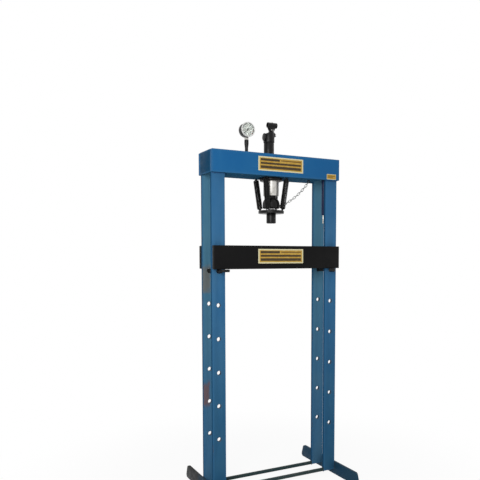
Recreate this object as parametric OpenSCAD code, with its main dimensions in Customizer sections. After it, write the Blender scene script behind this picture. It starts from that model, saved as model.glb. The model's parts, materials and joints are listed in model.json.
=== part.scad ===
// Four-column hydraulic floor press with a hand pump, a pressure gauge and a pinned bed.
// Millimetres, origin on the floor at the centre, +X to the right, -Y to the front, +Z up.

/* [Columns] */
// width of a column's flat bar
column_width = 64; // [50:1:90]
// thickness of a column's flat bar
column_thick = 12.7; // [8:0.1:20]
// left to right distance between column centres
column_span = 597; // [480:1:720]
// front to rear distance between column centres
column_depth = 110; // [95:1:140]
// how far the column tops end below the top of the head
column_drop = 6; // [0:1:30]
// height of the column ends and of the tie bars' undersides above the floor
column_foot = 26; // [10:1:40]
// diameter of the bed pin holes
hole_d = 19; // [18.2:0.1:26]
// distance between two pin holes
hole_pitch = 152.5; // [120:0.5:165]
// height of the lowest pin hole
hole_low_height = 270; // [220:1:320]
// number of pin holes in a column
hole_rows = 6; // [4:1:6]
// hole row that carries the bed, counted from the lowest as 0
bed_row = 5; // [3:1:5]

/* [Base] */
// length of a foot bar
foot_length = 524; // [400:1:640]
// height of a foot bar
foot_height = 63; // [45:1:80]
// thickness of a foot bar
foot_thick = 12.7; // [8:0.1:20]
// how far the sloped ends run in at the top
foot_slope = 22; // [5:1:50]
// radius of a foot bar's corners
foot_corner = 14; // [4:1:20]
// height of a tie bar
tie_height = 14; // [10:1:30]
// thickness of a tie bar
tie_thick = 12.7; // [8:0.1:20]

/* [Head] */
// height of the head's underside
head_bottom = 1466; // [1380:1:1600]
// height of the head
head_height = 100; // [80:1:140]
// thickness of the head's front and rear plates
head_plate_thick = 17; // [10:0.5:25]
// thickness of the head's end caps
head_cap_thick = 4; // [2:0.5:8]
// thickness of the plate that closes the head below
head_floor_thick = 20; // [12:1:30]
// length of the plate that closes the head below
head_floor_length = 496; // [430:1:520]
// thickness of the plate that carries the pump
head_lid_thick = 10; // [6:0.5:14]
// length of the plate that carries the pump
head_lid_length = 360; // [320:1:480]
// corner radius of the head and bed plates
plate_corner = 3; // [1:0.5:8]

/* [Bed] */
// height of the bed plates
bed_height = 106; // [80:1:120]
// thickness of a bed plate
bed_plate_thick = 22; // [14:0.5:30]
// gap between a bed plate and the columns
bed_clear = 4.7; // [2:0.1:10]
// thickness of the bed's spacers
spacer_thick = 20; // [10:1:30]
// height of the bed's spacers
spacer_height = 78; // [50:1:80]
// gap between a spacer and the columns
spacer_clear = 20; // [5:1:40]
// diameter of a bed pin
pin_d = 17.5; // [14:0.1:18]
// how far a pin stands out behind the rear bed plate
pin_tail = 8; // [2:1:20]
// how far a pin stands out before the front bed plate
pin_handle_gap = 2.5; // [1:0.5:20]
// thickness of a pin's handle rod
pin_handle_d = 12; // [8:0.5:14]
// length of a pin's handle beyond the bend
pin_handle = 22; // [10:1:60]
// bend radius of a pin's handle
pin_bend = 12; // [9:1:30]

/* [Jack] */
// outer diameter of the jack barrel
barrel_d = 73; // [66:0.5:80]
// bore of the jack barrel
barrel_bore = 55; // [48:0.5:58]
// thickness of the barrel's closed end
barrel_end = 12; // [8:1:16]
// how far the barrel stands out below the head
barrel_nose = 83; // [60:1:100]
// diameter of the flange below the head
flange_d = 108; // [95:1:112]
// thickness of the flange below the head
flange_thick = 15; // [8:1:24]
// height of the gland that shows below the barrel
gland_height = 59; // [45:1:70]
// largest diameter of the gland
gland_d = 80; // [70:1:84]
// neck diameter of the gland
gland_neck_d = 47; // [46:0.5:54]
// length of the gland inside the barrel
gland_spigot = 25; // [15:1:30]
// diameter of the ram's rod
rod_d = 36; // [30:0.5:40]
// length of the piston
piston_length = 26; // [16:1:34]
// gap between the gland and the spring plate with the ram up
plate_gap = 10; // [3:0.5:20]
// diameter of the spring plate
plate_d = 121; // [116:1:130]
// thickness of the spring plate
plate_thick = 13.6; // [8:0.2:20]
// diameter of the ram nose
nose_d = 45; // [38:0.5:60]
// length of the ram nose
nose_length = 46; // [34:1:60]

/* [Springs] */
// outer diameter of a return spring
spring_d = 27; // [20:0.5:28]
// wire thickness of a return spring
spring_wire = 4.4; // [3:0.1:4.8]
// smallest gap between two turns of a return spring
coil_gap = 0.2; // [0.1:0.05:4]
// radius from the ram axis to the spring ends on the plate
spring_low_r = 55; // [54:0.5:55.5]
// left and right place of the spring ends below the head
spring_top_x = 55; // [54:1:70]
// front and rear place of the spring ends below the head
spring_top_y = 51; // [46:1:52]
// wire thickness of the eyes
eye_wire = 4; // [3:0.1:4.5]
// ring radius of the eyes, at the middle of the wire
eye_ring = 6.5; // [6.3:0.1:7]

/* [Chain] */
// wire thickness of the chain
chain_wire = 3; // [2:0.1:3.5]
// distance between two links
chain_pitch = 14.1; // [13:0.1:16]
// half width of a link, at the middle of the wire
chain_half = 4.4; // [3.8:0.1:5]
// distance from the right end of the head's floor to the chain's upper eye
chain_inset = 58; // [30:1:90]
// front to rear place of the chain's upper eye
chain_top_y = -30; // [-45:1:0]

/* [Pump] */
// left to right place of the reservoir
pump_x = -12; // [-13:0.5:-5]
// diameter of the reservoir
reservoir_d = 48; // [40:0.5:48]
// how far the reservoir stands above the head
reservoir_rise = 64; // [40:1:90]
// diameter of the pump block
block_d = 52; // [46:0.5:60]
// height of the pump block
block_height = 49; // [42:1:60]
// distance from the lever pivot to the plunger
pump_arm = 10; // [10:0.5:12]
// height of the lever pivot above the pump block
pivot_rise = 9; // [8.5:0.5:20]
// thickness of the pivot ear
ear_thick = 12; // [9:0.5:16]
// diameter of the pivot pin
pivot_d = 5; // [4:0.1:6]
// diameter of the plunger
plunger_d = 8; // [6:0.1:8.8]
// diameter of the plunger's cross pin
cross_d = 4; // [3:0.1:4.4]
// outer diameter of the lever socket
socket_d = 25; // [24:0.5:30]
// length of the lever socket
socket_length = 47; // [44:1:80]
// height of the lever socket above the pivot
socket_rise = 23.5; // [23:0.5:30]
// thickness of the socket's cheeks
cheek_thick = 4; // [3:0.1:6]
// diameter of the release valve's knob
valve_d = 35; // [20:0.5:38]
// thickness of the release valve's knob
valve_thick = 4.5; // [3:0.5:12]

/* [Gauge] */
// left to right place of the gauge
gauge_x = -129; // [-150:1:-100]
// height of the gauge's centre above the head
gauge_rise = 111; // [100:1:130]
// diameter of the gauge case
gauge_d = 64; // [50:0.5:80]
// depth of the gauge case
gauge_depth = 32; // [20:0.5:36]
// wall of the gauge case
gauge_wall = 2; // [1.2:0.1:3]
// height of the black adapter under the gauge
adapter_height = 66; // [50:1:67]
// upper diameter of the adapter
adapter_d = 20; // [15:0.5:22]

/* [Lever] */
// diameter of the stored pump lever
lever_d = 18.6; // [14:0.1:18.8]
// length of the lever's grip tube
lever_grip_length = 246; // [180:1:300]
// diameter of the lever's steel end
lever_tip_d = 8.6; // [6:0.1:12]
// length of the lever's steel end
lever_tip_length = 40; // [20:1:60]
// how far the lever's top ends below the top of the head
lever_drop = 21; // [10:1:40]

/* [Fits] */
// gap between pieces that rest or run on each other
seat_gap = 0.3; // [0.1:0.05:0.6]
// radial gap of a shaft in its bore
run_gap = 0.05; // [0.02:0.01:0.1]

/* [Hidden] */
$fn = 64;

steel_blue = [0.13, 0.38, 0.61];
base_blue = [0.10, 0.20, 0.28];
black = [0.10, 0.10, 0.10];
bright = [0.78, 0.78, 0.76];
dial_white = [0.93, 0.93, 0.90];
rubber = [0.05, 0.05, 0.05];

// columns and base
column_x = column_span / 2;
column_y = column_depth / 2;
column_in_x = column_x - column_width / 2;
column_out_x = column_x + column_width / 2;
column_face_y = column_y + column_thick / 2;
column_back_y = column_y - column_thick / 2;
head_top = head_bottom + head_height;
column_top = head_top - column_drop;
corner_steps = 6;

// head
head_out_x = column_out_x + head_cap_thick;
lid_bottom = head_top - head_lid_thick;
floor_top = head_bottom + head_floor_thick;

// bed and pins
bed_back_y = column_face_y + bed_clear;
bed_face_y = bed_back_y + bed_plate_thick;
pin_z = hole_low_height + bed_row * hole_pitch - (hole_d - pin_d) / 2 + seat_gap;
bed_bottom = pin_z + pin_d / 2 + seat_gap;
spacer_x = column_in_x - spacer_clear - spacer_thick / 2;
spacer_bottom = bed_bottom + (bed_height - spacer_height) / 2;
pin_front = bed_face_y + pin_handle_gap;
handle_y = pin_front + pin_bend;
handle_lift = (pin_d - pin_handle_d) / 2 - 0.5;
pin_tip = 2;

// jack
barrel_bottom = head_bottom - barrel_nose;
barrel_room = 10;
barrel_top = lid_bottom - barrel_room;
bore_top = barrel_top - barrel_end;
gland_bottom = barrel_bottom - gland_height;
gland_lip = 21;
gland_edge = 3;
gland_dome = gland_height - gland_lip - 7;
wiper_thick = 4;
wiper_wall = 5;
piston_top = bore_top - 1;
piston_bottom = piston_top - piston_length;
seal_thick = 6;
seal_depth = 4;
plate_top = gland_bottom - plate_gap;
plate_bottom = plate_top - plate_thick;
rod_spigot_d = rod_d - 8;
rod_spigot_in = 25;
nose_bottom = plate_bottom - nose_length;
nose_edge = 2.5;

// springs and eyes
eye_r = eye_wire / 2;
spring_r = spring_wire / 2;
spring_loop = 5.5;
coil_start = 4.5;
spring_step = 8;
wire_sides = 6;
eye_foot_d = 8;
eye_stand = 2.2;
eye_low_z = plate_top + eye_stand;
eye_top_z = head_bottom - eye_stand;
spring_low_z = eye_low_z + eye_ring - eye_r - spring_r - seat_gap;
spring_top_z = eye_top_z - eye_ring + eye_r + spring_r + seat_gap;
spring_low = spring_low_r * cos(45);

// chain
chain_r = chain_wire / 2;
chain_top_x = head_floor_length / 2 - chain_inset;
chain_eye_ring = 6;
chain_eye_r = 2;
chain_hook = chain_eye_ring - chain_eye_r - seat_gap / 2;
chain_low_turn = -9;
chain_low_z = gland_bottom + gland_lip / 2 + 2;
chain_low_out = gland_d / 2 + chain_eye_ring + chain_eye_r;
chain_from = [chain_top_x, chain_top_y, head_bottom - chain_eye_ring - chain_eye_r];
chain_to = [chain_low_out * cos(chain_low_turn), chain_low_out * sin(chain_low_turn), chain_low_z];
chain_span = norm(chain_to - chain_from);
chain_slack = 1.008;
chain_links = 2 * ceil(((chain_span - 2 * chain_hook) * chain_slack / chain_pitch - 1) / 2) + 1;
chain_run = chain_links * chain_pitch + 2 * chain_hook;
chain_ease = 1 - chain_span / chain_run;
chain_bend = sqrt(6 * chain_ease * (1 + 0.3 * chain_ease));
chain_radius = chain_run / (2 * chain_bend);
chain_along = (chain_to - chain_from) / chain_span;
chain_side = unit(cross(chain_along, [0, 0, 1]));
chain_down = cross(chain_along, chain_side);
link_steps = 6;
link_reach = chain_pitch / 2 + chain_r + seat_gap / 2;

// pump
reservoir_top = head_top + reservoir_rise;
block_top = reservoir_top + block_height;
pivot_x = pump_x + 9;
pivot_z = block_top + pivot_rise;
plunger_x = pivot_x + pump_arm;
ear_r = 5;
plunger_depth = 20;
plunger_head = 6;
plunger_gland_rise = 5;
plunger_gland_wall = 2.5;
block_edge = 2.5;
block_slope = 11;
block_flat = 4;
cheek_in = ear_thick / 2 + 1;
cheek_out = cheek_in + cheek_thick;
cheek_r = 5.5;
slot_play_x = 0.8;
slot_play_z = 0.3;
socket_z = pivot_z + socket_rise;
socket_bore = lever_d + 0.6;
socket_x = pivot_x + 7;
cheek_spread = 10;
screw_d = 8;
screw_rise = 3;
valve_z = reservoir_top + block_height * 0.5;
valve_flat = 4;
valve_stem_d = 8;
valve_stem = 14;
valve_face = pump_x - block_d / 2 + valve_flat;
plug_boss_d = 22;
plug_z = block_top - plug_boss_d / 2 - 1;
plug_boss = 3;
plug_d = 18;
plug_rise = 6;
plug_face = pump_x + block_d / 2 + plug_boss;

// gauge
gauge_z = head_top + gauge_rise;
gauge_front = -16;
gauge_back = gauge_front + gauge_depth;
bezel_lip = 1.5;
bezel_depth = 6;
dial_thick = 1.5;
dial_y = gauge_front + 4;
lens_thick = 2;
lens_y = gauge_front - 3;
pointer_y = dial_y - 2.6;
pointer_thick = 0.8;
pointer_shaft_d = 2;
stem_square = 14;
stem_neck_d = 10;
adapter_foot_d = 15;
adapter_nut_d = 24;
adapter_nut = 8;
adapter_stud_d = 10;
adapter_stud = 8;
pipe_d = 8;
pipe_bend = 14;
pipe_z = lid_bottom - adapter_stud - pipe_bend - 14;

// stored lever
clip_wall = 1.8;
clip_gap = 0.15;
clip_height = 16;
clip_base = 2.2;
clip_mouth = 100;
clip_drop = 24;
clip_step = 40;
lever_inset = 4.5;
lever_room = 15;
lever_x = column_in_x + lever_inset;
lever_y = -column_back_y + clip_base + lever_d / 2 + clip_gap;
lever_top = head_top - lever_drop;
lever_bottom = lever_top - lever_grip_length;
clip_zs = [lever_top - clip_drop, lever_top - clip_drop - clip_step];
plug_collar = 1.5;
plug_hex_d = plug_d - 2;
pivot_stick = 1.5;

function unit(v) = v / norm(v);
function carry(n, t) = unit(n - (n * t) * t);
function corner(a, p, b, r) = let (u = unit(a - p), v = unit(b - p), half = acos(u * v) / 2,
    c = p + unit(u + v) * r / sin(half), turn = 180 - 2 * half,
    from = p + u * r / tan(half) - c, to = p + v * r / tan(half) - c)
    [for (k = [0 : corner_steps])
        c + (from * sin((1 - k / corner_steps) * turn) + to * sin(k / corner_steps * turn)) / sin(turn)];
function chord_at(p, i) = unit(p[min(i + 1, len(p) - 1)] - p[max(i - 1, 0)]);
function loop_at(p, i) = unit(p[(i + 1) % len(p)] - p[(i + len(p) - 1) % len(p)]);
function ring(c, n, b, r, sides) = [for (k = [0 : sides - 1])
    c + r * (cos(360 * k / sides) * n + sin(360 * k / sides) * b)];
function wire_faces(rows, sides) = [for (i = [0 : rows - 2], k = [0 : sides - 1])
    each [[i * sides + k, (i + 1) * sides + k, (i + 1) * sides + (k + 1) % sides],
          [i * sides + k, (i + 1) * sides + (k + 1) % sides, i * sides + (k + 1) % sides]]];

// round wire along an open path, closed at both ends
module wire(path, r, sides, first) {
    tangents = [for (i = [0 : len(path) - 1]) chord_at(path, i)];
    normals = [for (i = 0, n = carry(first, tangents[0]); i < len(path);
        i = i + 1, n = i < len(path) ? carry(n, tangents[i]) : n) n];
    rows = [for (i = [0 : len(path) - 1])
        each ring(path[i], normals[i], cross(normals[i], tangents[i]), r, sides)];
    last = (len(path) - 1) * sides;
    polyhedron(rows, concat(wire_faces(len(path), sides),
        [[for (k = [0 : sides - 1]) k]], [[for (k = [sides - 1 : -1 : 0]) last + k]]), convexity = 10);
}

// round wire along a closed flat path whose plane has the normal up
module closed_wire(path, r, sides, up) {
    rows = [for (i = [0 : len(path)]) let (j = i % len(path), t = loop_at(path, j))
        each ring(path[j], up, cross(up, t), r, sides)];
    count = len(path) * sides;
    faces = [for (f = wire_faces(len(path) + 1, sides)) [for (v = f) v % count]];
    polyhedron([for (i = [0 : count - 1]) rows[i]], faces, convexity = 6);
}

module plate_outline(w, h, r) {
    union() {
        translate([-w / 2, r]) square([w, h - 2 * r]);
        translate([-w / 2 + r, 0]) square([w - 2 * r, h]);
        for (x = [-1, 1], z = [0, 1]) translate([x * (w / 2 - r), z * (h - 2 * r) + r]) circle(r);
    }
}

// upright plate with rounded corners, front face at y
module upright_plate(w, h, y, thick, z) {
    translate([0, y + thick, z]) rotate([90, 0, 0]) linear_extrude(thick) plate_outline(w, h, plate_corner);
}

// cylinders along the three axes, centred on the two other coordinates
module rod_x(x, y, z, d, length) {
    translate([x, y, z]) rotate([0, 90, 0]) cylinder(h = length, d = d);
}
module rod_y(x, y, z, d, length) {
    translate([x, y + length, z]) rotate([90, 0, 0]) cylinder(h = length, d = d);
}
module rod_z(x, y, z, d, length) {
    translate([x, y, z]) cylinder(h = length, d = d);
}

module column(side, depth) {
    color(steel_blue) difference() {
        translate([side * column_x - column_width / 2, depth * column_y - column_thick / 2, column_foot])
            cube([column_width, column_thick, column_top - column_foot]);
        for (row = [0 : hole_rows - 1])
            rod_y(side * column_x, depth * column_y - column_thick, hole_low_height + row * hole_pitch,
                hole_d, 2 * column_thick);
    }
}
module column_front_left() { column(-1, -1); }
module column_front_right() { column(1, -1); }
module column_rear_left() { column(-1, 1); }
module column_rear_right() { column(1, 1); }

module foot() {
    ends = [[-foot_length / 2, 0], [foot_length / 2, 0],
        [foot_length / 2 - foot_slope, foot_height], [foot_slope - foot_length / 2, foot_height]];
    color(base_blue) translate([column_out_x, 0, 0]) rotate([90, 0, 90]) linear_extrude(foot_thick)
        polygon([for (k = [0 : 3]) each corner(ends[(k + 3) % 4], ends[k], ends[(k + 1) % 4], foot_corner)]);
}
module foot_left() { mirror([1, 0, 0]) foot(); }
module foot_right() { foot(); }

module tie(depth) {
    color(base_blue) translate([-column_in_x, depth * column_y - tie_thick / 2, column_foot])
        cube([2 * column_in_x, tie_thick, tie_height]);
}
module tie_front() { tie(-1); }
module tie_rear() { tie(1); }

module head_front_plate() {
    color(steel_blue)
        upright_plate(2 * head_out_x, head_height, -column_face_y - head_plate_thick,
            head_plate_thick, head_bottom);
}
module head_rear_plate() {
    color(steel_blue)
        upright_plate(2 * head_out_x, head_height, column_face_y, head_plate_thick, head_bottom);
}
module head_floor_plate() {
    color(steel_blue) difference() {
        translate([-head_floor_length / 2, -column_face_y, head_bottom])
            cube([head_floor_length, 2 * column_face_y, head_floor_thick]);
        rod_z(0, 0, head_bottom - 1, barrel_d + 2 * run_gap, head_floor_thick + 2);
        for (x = [-1, 1], y = [-1, 1])
            translate([x * column_x - column_width / 2, y * column_y - column_thick / 2, head_bottom - 1])
                cube([column_width, column_thick, head_floor_thick + 2]);
        translate([lever_x - lever_room, -column_back_y, head_bottom - 1])
            cube([head_floor_length, column_back_y + lever_y + lever_room, head_floor_thick + 2]);
    }
}
module head_lid_plate() {
    color(steel_blue) difference() {
        translate([-head_lid_length / 2, -column_face_y, lid_bottom])
            cube([head_lid_length, 2 * column_face_y, head_lid_thick]);
        rod_z(pump_x, 0, lid_bottom - 1, reservoir_d + 2 * run_gap, head_lid_thick + 2);
        rod_z(gauge_x, 0, lid_bottom - 1, adapter_stud_d + 2 * run_gap, head_lid_thick + 2);
    }
}
module head_cap(side) {
    color(steel_blue) translate([side > 0 ? column_out_x : -head_out_x, -column_face_y, head_bottom])
        cube([head_cap_thick, 2 * column_face_y, head_height]);
}
module head_cap_left() { head_cap(-1); }
module head_cap_right() { head_cap(1); }

module jack_barrel() {
    color(bright) difference() {
        rod_z(0, 0, barrel_bottom, barrel_d, barrel_top - barrel_bottom);
        rod_z(0, 0, barrel_bottom - 1, barrel_bore, bore_top - barrel_bottom + 1);
    }
}
module jack_flange() {
    color(black) rotate_extrude() polygon([
        [barrel_d / 2 + run_gap, head_bottom - flange_thick],
        [flange_d / 2 - gland_edge, head_bottom - flange_thick],
        [flange_d / 2, head_bottom - flange_thick + gland_edge],
        [flange_d / 2, head_bottom],
        [barrel_d / 2 + run_gap, head_bottom]]);
}
module jack_gland() {
    gland_in = rod_d / 2 + run_gap;
    color(black) rotate_extrude() union() {
        polygon([
            [gland_in, gland_bottom + wiper_thick],
            [rod_d / 2 + wiper_wall, gland_bottom + wiper_thick],
            [rod_d / 2 + wiper_wall, gland_bottom],
            [gland_d / 2 - gland_edge, gland_bottom],
            [gland_d / 2, gland_bottom + gland_edge],
            [gland_d / 2, gland_bottom + gland_lip],
            [gland_in, gland_bottom + gland_lip]]);
        intersection() {
            translate([gland_d / 2 - gland_dome, gland_bottom + gland_lip]) circle(gland_dome);
            translate([gland_in, gland_bottom + gland_lip]) square([gland_d, gland_dome]);
        }
        polygon([
            [gland_in, gland_bottom + gland_lip],
            [gland_neck_d / 2, gland_bottom + gland_lip],
            [gland_neck_d / 2, barrel_bottom],
            [barrel_bore / 2 - run_gap, barrel_bottom],
            [barrel_bore / 2 - run_gap, barrel_bottom + gland_spigot],
            [gland_in, barrel_bottom + gland_spigot]]);
    }
}
module rod_wiper() {
    color(rubber) rotate_extrude() polygon([
        [rod_d / 2 + run_gap, gland_bottom], [rod_d / 2 + wiper_wall, gland_bottom],
        [rod_d / 2 + wiper_wall, gland_bottom + wiper_thick],
        [rod_d / 2 + run_gap, gland_bottom + wiper_thick]]);
}

module piston_rod() {
    color(bright) union() {
        rod_z(0, 0, plate_top, rod_d, piston_bottom - plate_top);
        rod_z(0, 0, plate_bottom - rod_spigot_in, rod_spigot_d, plate_thick + rod_spigot_in + 1);
    }
}
module piston() {
    color(bright) difference() {
        rod_z(0, 0, piston_bottom, barrel_bore - 2 * run_gap, piston_length);
        difference() {
            rod_z(0, 0, piston_bottom + (piston_length - seal_thick) / 2, barrel_bore, seal_thick);
            rod_z(0, 0, piston_bottom, barrel_bore - 2 * seal_depth, piston_length);
        }
    }
}
module piston_seal() {
    color(rubber) difference() {
        rod_z(0, 0, piston_bottom + (piston_length - seal_thick) / 2, barrel_bore - 2 * run_gap, seal_thick);
        rod_z(0, 0, piston_bottom, barrel_bore - 2 * seal_depth, piston_length);
    }
}
module spring_plate() {
    color(black) difference() {
        rotate_extrude() polygon([[0, plate_bottom], [plate_d / 2 - 1, plate_bottom],
            [plate_d / 2, plate_bottom + 1], [plate_d / 2, plate_top - 1],
            [plate_d / 2 - 1, plate_top], [0, plate_top]]);
        rod_z(0, 0, plate_bottom - 1, rod_spigot_d + 2 * run_gap, plate_thick + 2);
    }
}
module ram_nose() {
    color(black) difference() {
        rotate_extrude() polygon([[0, nose_bottom], [nose_d / 2 - nose_edge, nose_bottom],
            [nose_d / 2, nose_bottom + nose_edge], [nose_d / 2, plate_bottom], [0, plate_bottom]]);
        rod_z(0, 0, plate_bottom - rod_spigot_in, rod_spigot_d + 2 * run_gap, rod_spigot_in + 1);
    }
}

// ring that stands on a face, turned about Z
module ring_eye(at, turn, ring_r, wire_r, foot_from, foot_to) {
    union() {
        translate(at) rotate([0, 0, turn]) rotate([90, 0, 0])
            rotate_extrude() translate([ring_r, 0]) circle(wire_r, $fn = 24);
        rod_z(at[0], at[1], foot_from, eye_foot_d, foot_to - foot_from);
    }
}
// part of a ring that stands out from a face, turned about Z
module staple_eye(at, turn, from) {
    intersection() {
        translate(at) rotate([0, 0, turn]) rotate([90, 0, 0])
            rotate_extrude() translate([eye_ring, 0]) circle(eye_r, $fn = 24);
        rod_z(at[0], at[1], from, 4 * eye_ring, 2 * eye_ring);
    }
}
module spring_eyes_plate() {
    color(black) for (x = [-1, 1], y = [-1, 1])
        staple_eye([x * spring_low, y * spring_low, eye_low_z], x * y * 45 + 90, plate_top);
}
module spring_eyes_head() {
    color(black) for (x = [-1, 1], y = [-1, 1])
        staple_eye([x * spring_top_x, y * spring_top_y, eye_top_z], x * y * 45 + 90,
            head_bottom - 2 * eye_ring);
}

// extension spring from the plate to the head with a closed loop inside each end
module return_spring(x, y) {
    low = [x * spring_low, y * spring_low, spring_low_z];
    top = [x * spring_top_x, y * spring_top_y, spring_top_z];
    length = norm(top - low);
    along = (top - low) / length;
    across = unit(cross(along, [x, y, 0]));
    out = cross(across, along);
    coil_r = (spring_d - spring_wire) / 2;
    steps = floor((length - 2 * coil_start) / (spring_wire + coil_gap)) * spring_step;
    low_loop = [for (k = [-5 : 3]) [spring_loop * sin(k * 30), 0, spring_loop - spring_loop * cos(k * 30)]];
    coil = [for (k = [0 : steps]) [coil_r * cos(360 * k / spring_step), coil_r * sin(360 * k / spring_step),
        coil_start + (length - 2 * coil_start) * k / steps]];
    top_loop = [for (k = [3 : -1 : -5])
        [spring_loop * sin(k * 30), 0, length - spring_loop + spring_loop * cos(k * 30)]];
    path = [for (p = concat(low_loop, coil, top_loop)) low + p[0] * out + p[1] * across + p[2] * along];
    color(black) wire(path, spring_r, wire_sides, across);
}
module spring_front_left() { return_spring(-1, -1); }
module spring_front_right() { return_spring(1, -1); }
module spring_rear_left() { return_spring(-1, 1); }
module spring_rear_right() { return_spring(1, 1); }

function chain_point(s) = let (a = (s / chain_run - 0.5) * 2 * chain_bend * 180 / PI)
    (chain_from + chain_to) / 2 + chain_along * chain_radius * sin(a)
    + chain_down * (chain_radius * cos(a) - chain_radius * cos(chain_bend * 180 / PI));

// one oval link between two points of the chain
module link(from, to, flat) {
    centre = (from + to) / 2;
    dir = unit(to - from);
    wide = flat ? chain_side : unit(cross(dir, chain_side));
    straight = link_reach - chain_half;
    path = [for (e = [1, -1], k = [0 : link_steps]) let (a = 90 - 180 * k / link_steps)
        centre + e * dir * (straight + chain_half * cos(a)) + e * wide * chain_half * sin(a)];
    closed_wire(path, chain_r, wire_sides, cross(wide, dir));
}
module chain() {
    color(bright) for (k = [0 : chain_links - 1])
        link(chain_point(chain_hook + k * chain_pitch), chain_point(chain_hook + (k + 1) * chain_pitch),
            k % 2 == 0);
}
chain_turn = atan2(chain_along[1], chain_along[0]);
module chain_eye_head() {
    color(black) ring_eye(chain_from, chain_turn, chain_eye_ring, chain_eye_r,
        head_bottom - 2 * chain_eye_r, head_bottom);
}
module chain_eye_gland() {
    color(black) union() {
        translate(chain_to) rotate([0, 0, chain_turn]) rotate([90, 0, 0])
            rotate_extrude() translate([chain_eye_ring, 0]) circle(chain_eye_r, $fn = 24);
        intersection() {
            translate([0, 0, chain_low_z]) rotate([0, 0, chain_low_turn])
                rod_x(gland_d / 2 - 2, 0, 0, 2 * chain_eye_r, 2 + 2 * chain_eye_r);
            difference() {
                rod_z(0, 0, gland_bottom, 2 * chain_low_out, gland_lip);
                rod_z(0, 0, gland_bottom - 1, gland_d + 2 * run_gap, gland_lip + 2);
            }
        }
    }
}

module reservoir() {
    color(black) rod_z(pump_x, 0, barrel_top, reservoir_d, reservoir_top - barrel_top);
}
module pump_block() {
    color(black) difference() {
        union() {
            difference() {
                translate([pump_x, 0, 0]) rotate_extrude() polygon([
                    [0, reservoir_top], [block_d / 2 - 1, reservoir_top],
                    [block_d / 2, reservoir_top + 1], [block_d / 2, block_top - block_edge],
                    [block_d / 2 - block_edge, block_top], [0, block_top]]);
                translate([pump_x, block_d, 0]) rotate([90, 0, 0]) linear_extrude(2 * block_d)
                    polygon([[block_flat, block_top], [-block_d / 2, block_top - block_slope],
                        [-block_d, block_top - block_slope], [-block_d, block_top + block_slope],
                        [block_flat, block_top + block_slope]]);
            }
            rod_x(plug_face - block_d / 2, 0, plug_z, plug_boss_d, block_d / 2);
            translate([0, ear_thick / 2, 0]) rotate([90, 0, 0]) linear_extrude(ear_thick) union() {
                translate([pivot_x, pivot_z]) circle(ear_r);
                polygon([[pivot_x - ear_r, pivot_z], [pivot_x - 2 * ear_r, block_top - block_edge],
                    [pivot_x + ear_r, block_top - block_edge], [pivot_x + ear_r, pivot_z]]);
            }
        }
        rod_z(plunger_x, 0, block_top - plunger_depth - 8, plunger_d + 2 * run_gap, plunger_depth + 9);
        translate([valve_face - block_d, -block_d, valve_z - valve_d / 2 - 1])
            cube([block_d, 2 * block_d, block_height]);
        rod_x(valve_face - 1, 0, valve_z, valve_stem_d + 2 * run_gap, valve_stem + 3);
        rod_y(pivot_x, -ear_thick, pivot_z, pivot_d + 2 * run_gap, 2 * ear_thick);
    }
}
module plunger_gland() {
    color(bright) difference() {
        rod_z(plunger_x, 0, block_top, plunger_d + 2 * plunger_gland_wall, plunger_gland_rise);
        rod_z(plunger_x, 0, block_top - 1, plunger_d + 2 * run_gap, plunger_gland_rise + 2);
        translate([pivot_x - ear_r, -ear_thick, block_top - 1])
            cube([2 * ear_r + seat_gap, 2 * ear_thick, plunger_gland_rise + 2]);
    }
}
module filler_plug() {
    color(bright) union() {
        rod_x(plug_face, 0, plug_z, plug_d, plug_collar);
        translate([plug_face + plug_collar, 0, plug_z]) rotate([0, 90, 0])
            cylinder(h = plug_rise - plug_collar, d = plug_hex_d, $fn = 6);
    }
}
module pivot_pin() {
    color(bright) rod_y(pivot_x, -cheek_out - pivot_stick, pivot_z, pivot_d, 2 * (cheek_out + pivot_stick));
}
module pump_plunger() {
    color(bright) union() {
        rod_z(plunger_x, 0, block_top - plunger_depth, plunger_d,
            pivot_z + plunger_head - block_top + plunger_depth);
        rod_y(plunger_x, -cheek_out - 1, pivot_z, cross_d, 2 * cheek_out + 2);
    }
}
// outline of a socket cheek, seen from the front
module cheek_outline() {
    difference() {
        union() {
            translate([pivot_x, pivot_z]) circle(cheek_r);
            translate([plunger_x, pivot_z]) circle(cheek_r);
            polygon([[pivot_x, pivot_z - cheek_r], [plunger_x, pivot_z - cheek_r],
                [plunger_x + cheek_r, pivot_z], [plunger_x + cheek_r + cheek_spread, socket_z],
                [pivot_x - cheek_r - cheek_spread, socket_z], [pivot_x - cheek_r, pivot_z]]);
        }
        translate([pivot_x, pivot_z]) circle(pivot_d / 2 + run_gap);
        union() {
            for (s = [-1, 1])
                translate([plunger_x + s * slot_play_x, pivot_z]) circle(cross_d / 2 + slot_play_z);
            translate([plunger_x - slot_play_x, pivot_z - cross_d / 2 - slot_play_z])
                square([2 * slot_play_x, cross_d + 2 * slot_play_z]);
        }
    }
}
module lever_socket() {
    color(black) difference() {
        union() {
            rod_x(socket_x - socket_length / 2, 0, socket_z, socket_d, socket_length);
            for (y = [-cheek_in, cheek_out])
                translate([0, y, 0]) rotate([90, 0, 0]) linear_extrude(cheek_thick) cheek_outline();
        }
        rod_x(socket_x - socket_length, 0, socket_z, socket_bore, 2 * socket_length);
        rod_z(socket_x, 0, socket_z, screw_d / 2, socket_d);
    }
}
module socket_screw() {
    color(bright) union() {
        rod_z(socket_x, 0, socket_z + socket_bore / 2 + seat_gap, screw_d / 2 - 2 * run_gap,
            socket_d / 2 - socket_bore / 2);
        rod_z(socket_x, 0, socket_z + socket_d / 2, screw_d, screw_rise);
    }
}
module release_valve() {
    color(black) union() {
        rod_x(valve_face - seat_gap - valve_thick, 0, valve_z, valve_d, valve_thick);
        rod_x(valve_face - seat_gap - 1, 0, valve_z, valve_stem_d, valve_stem);
    }
}

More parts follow.
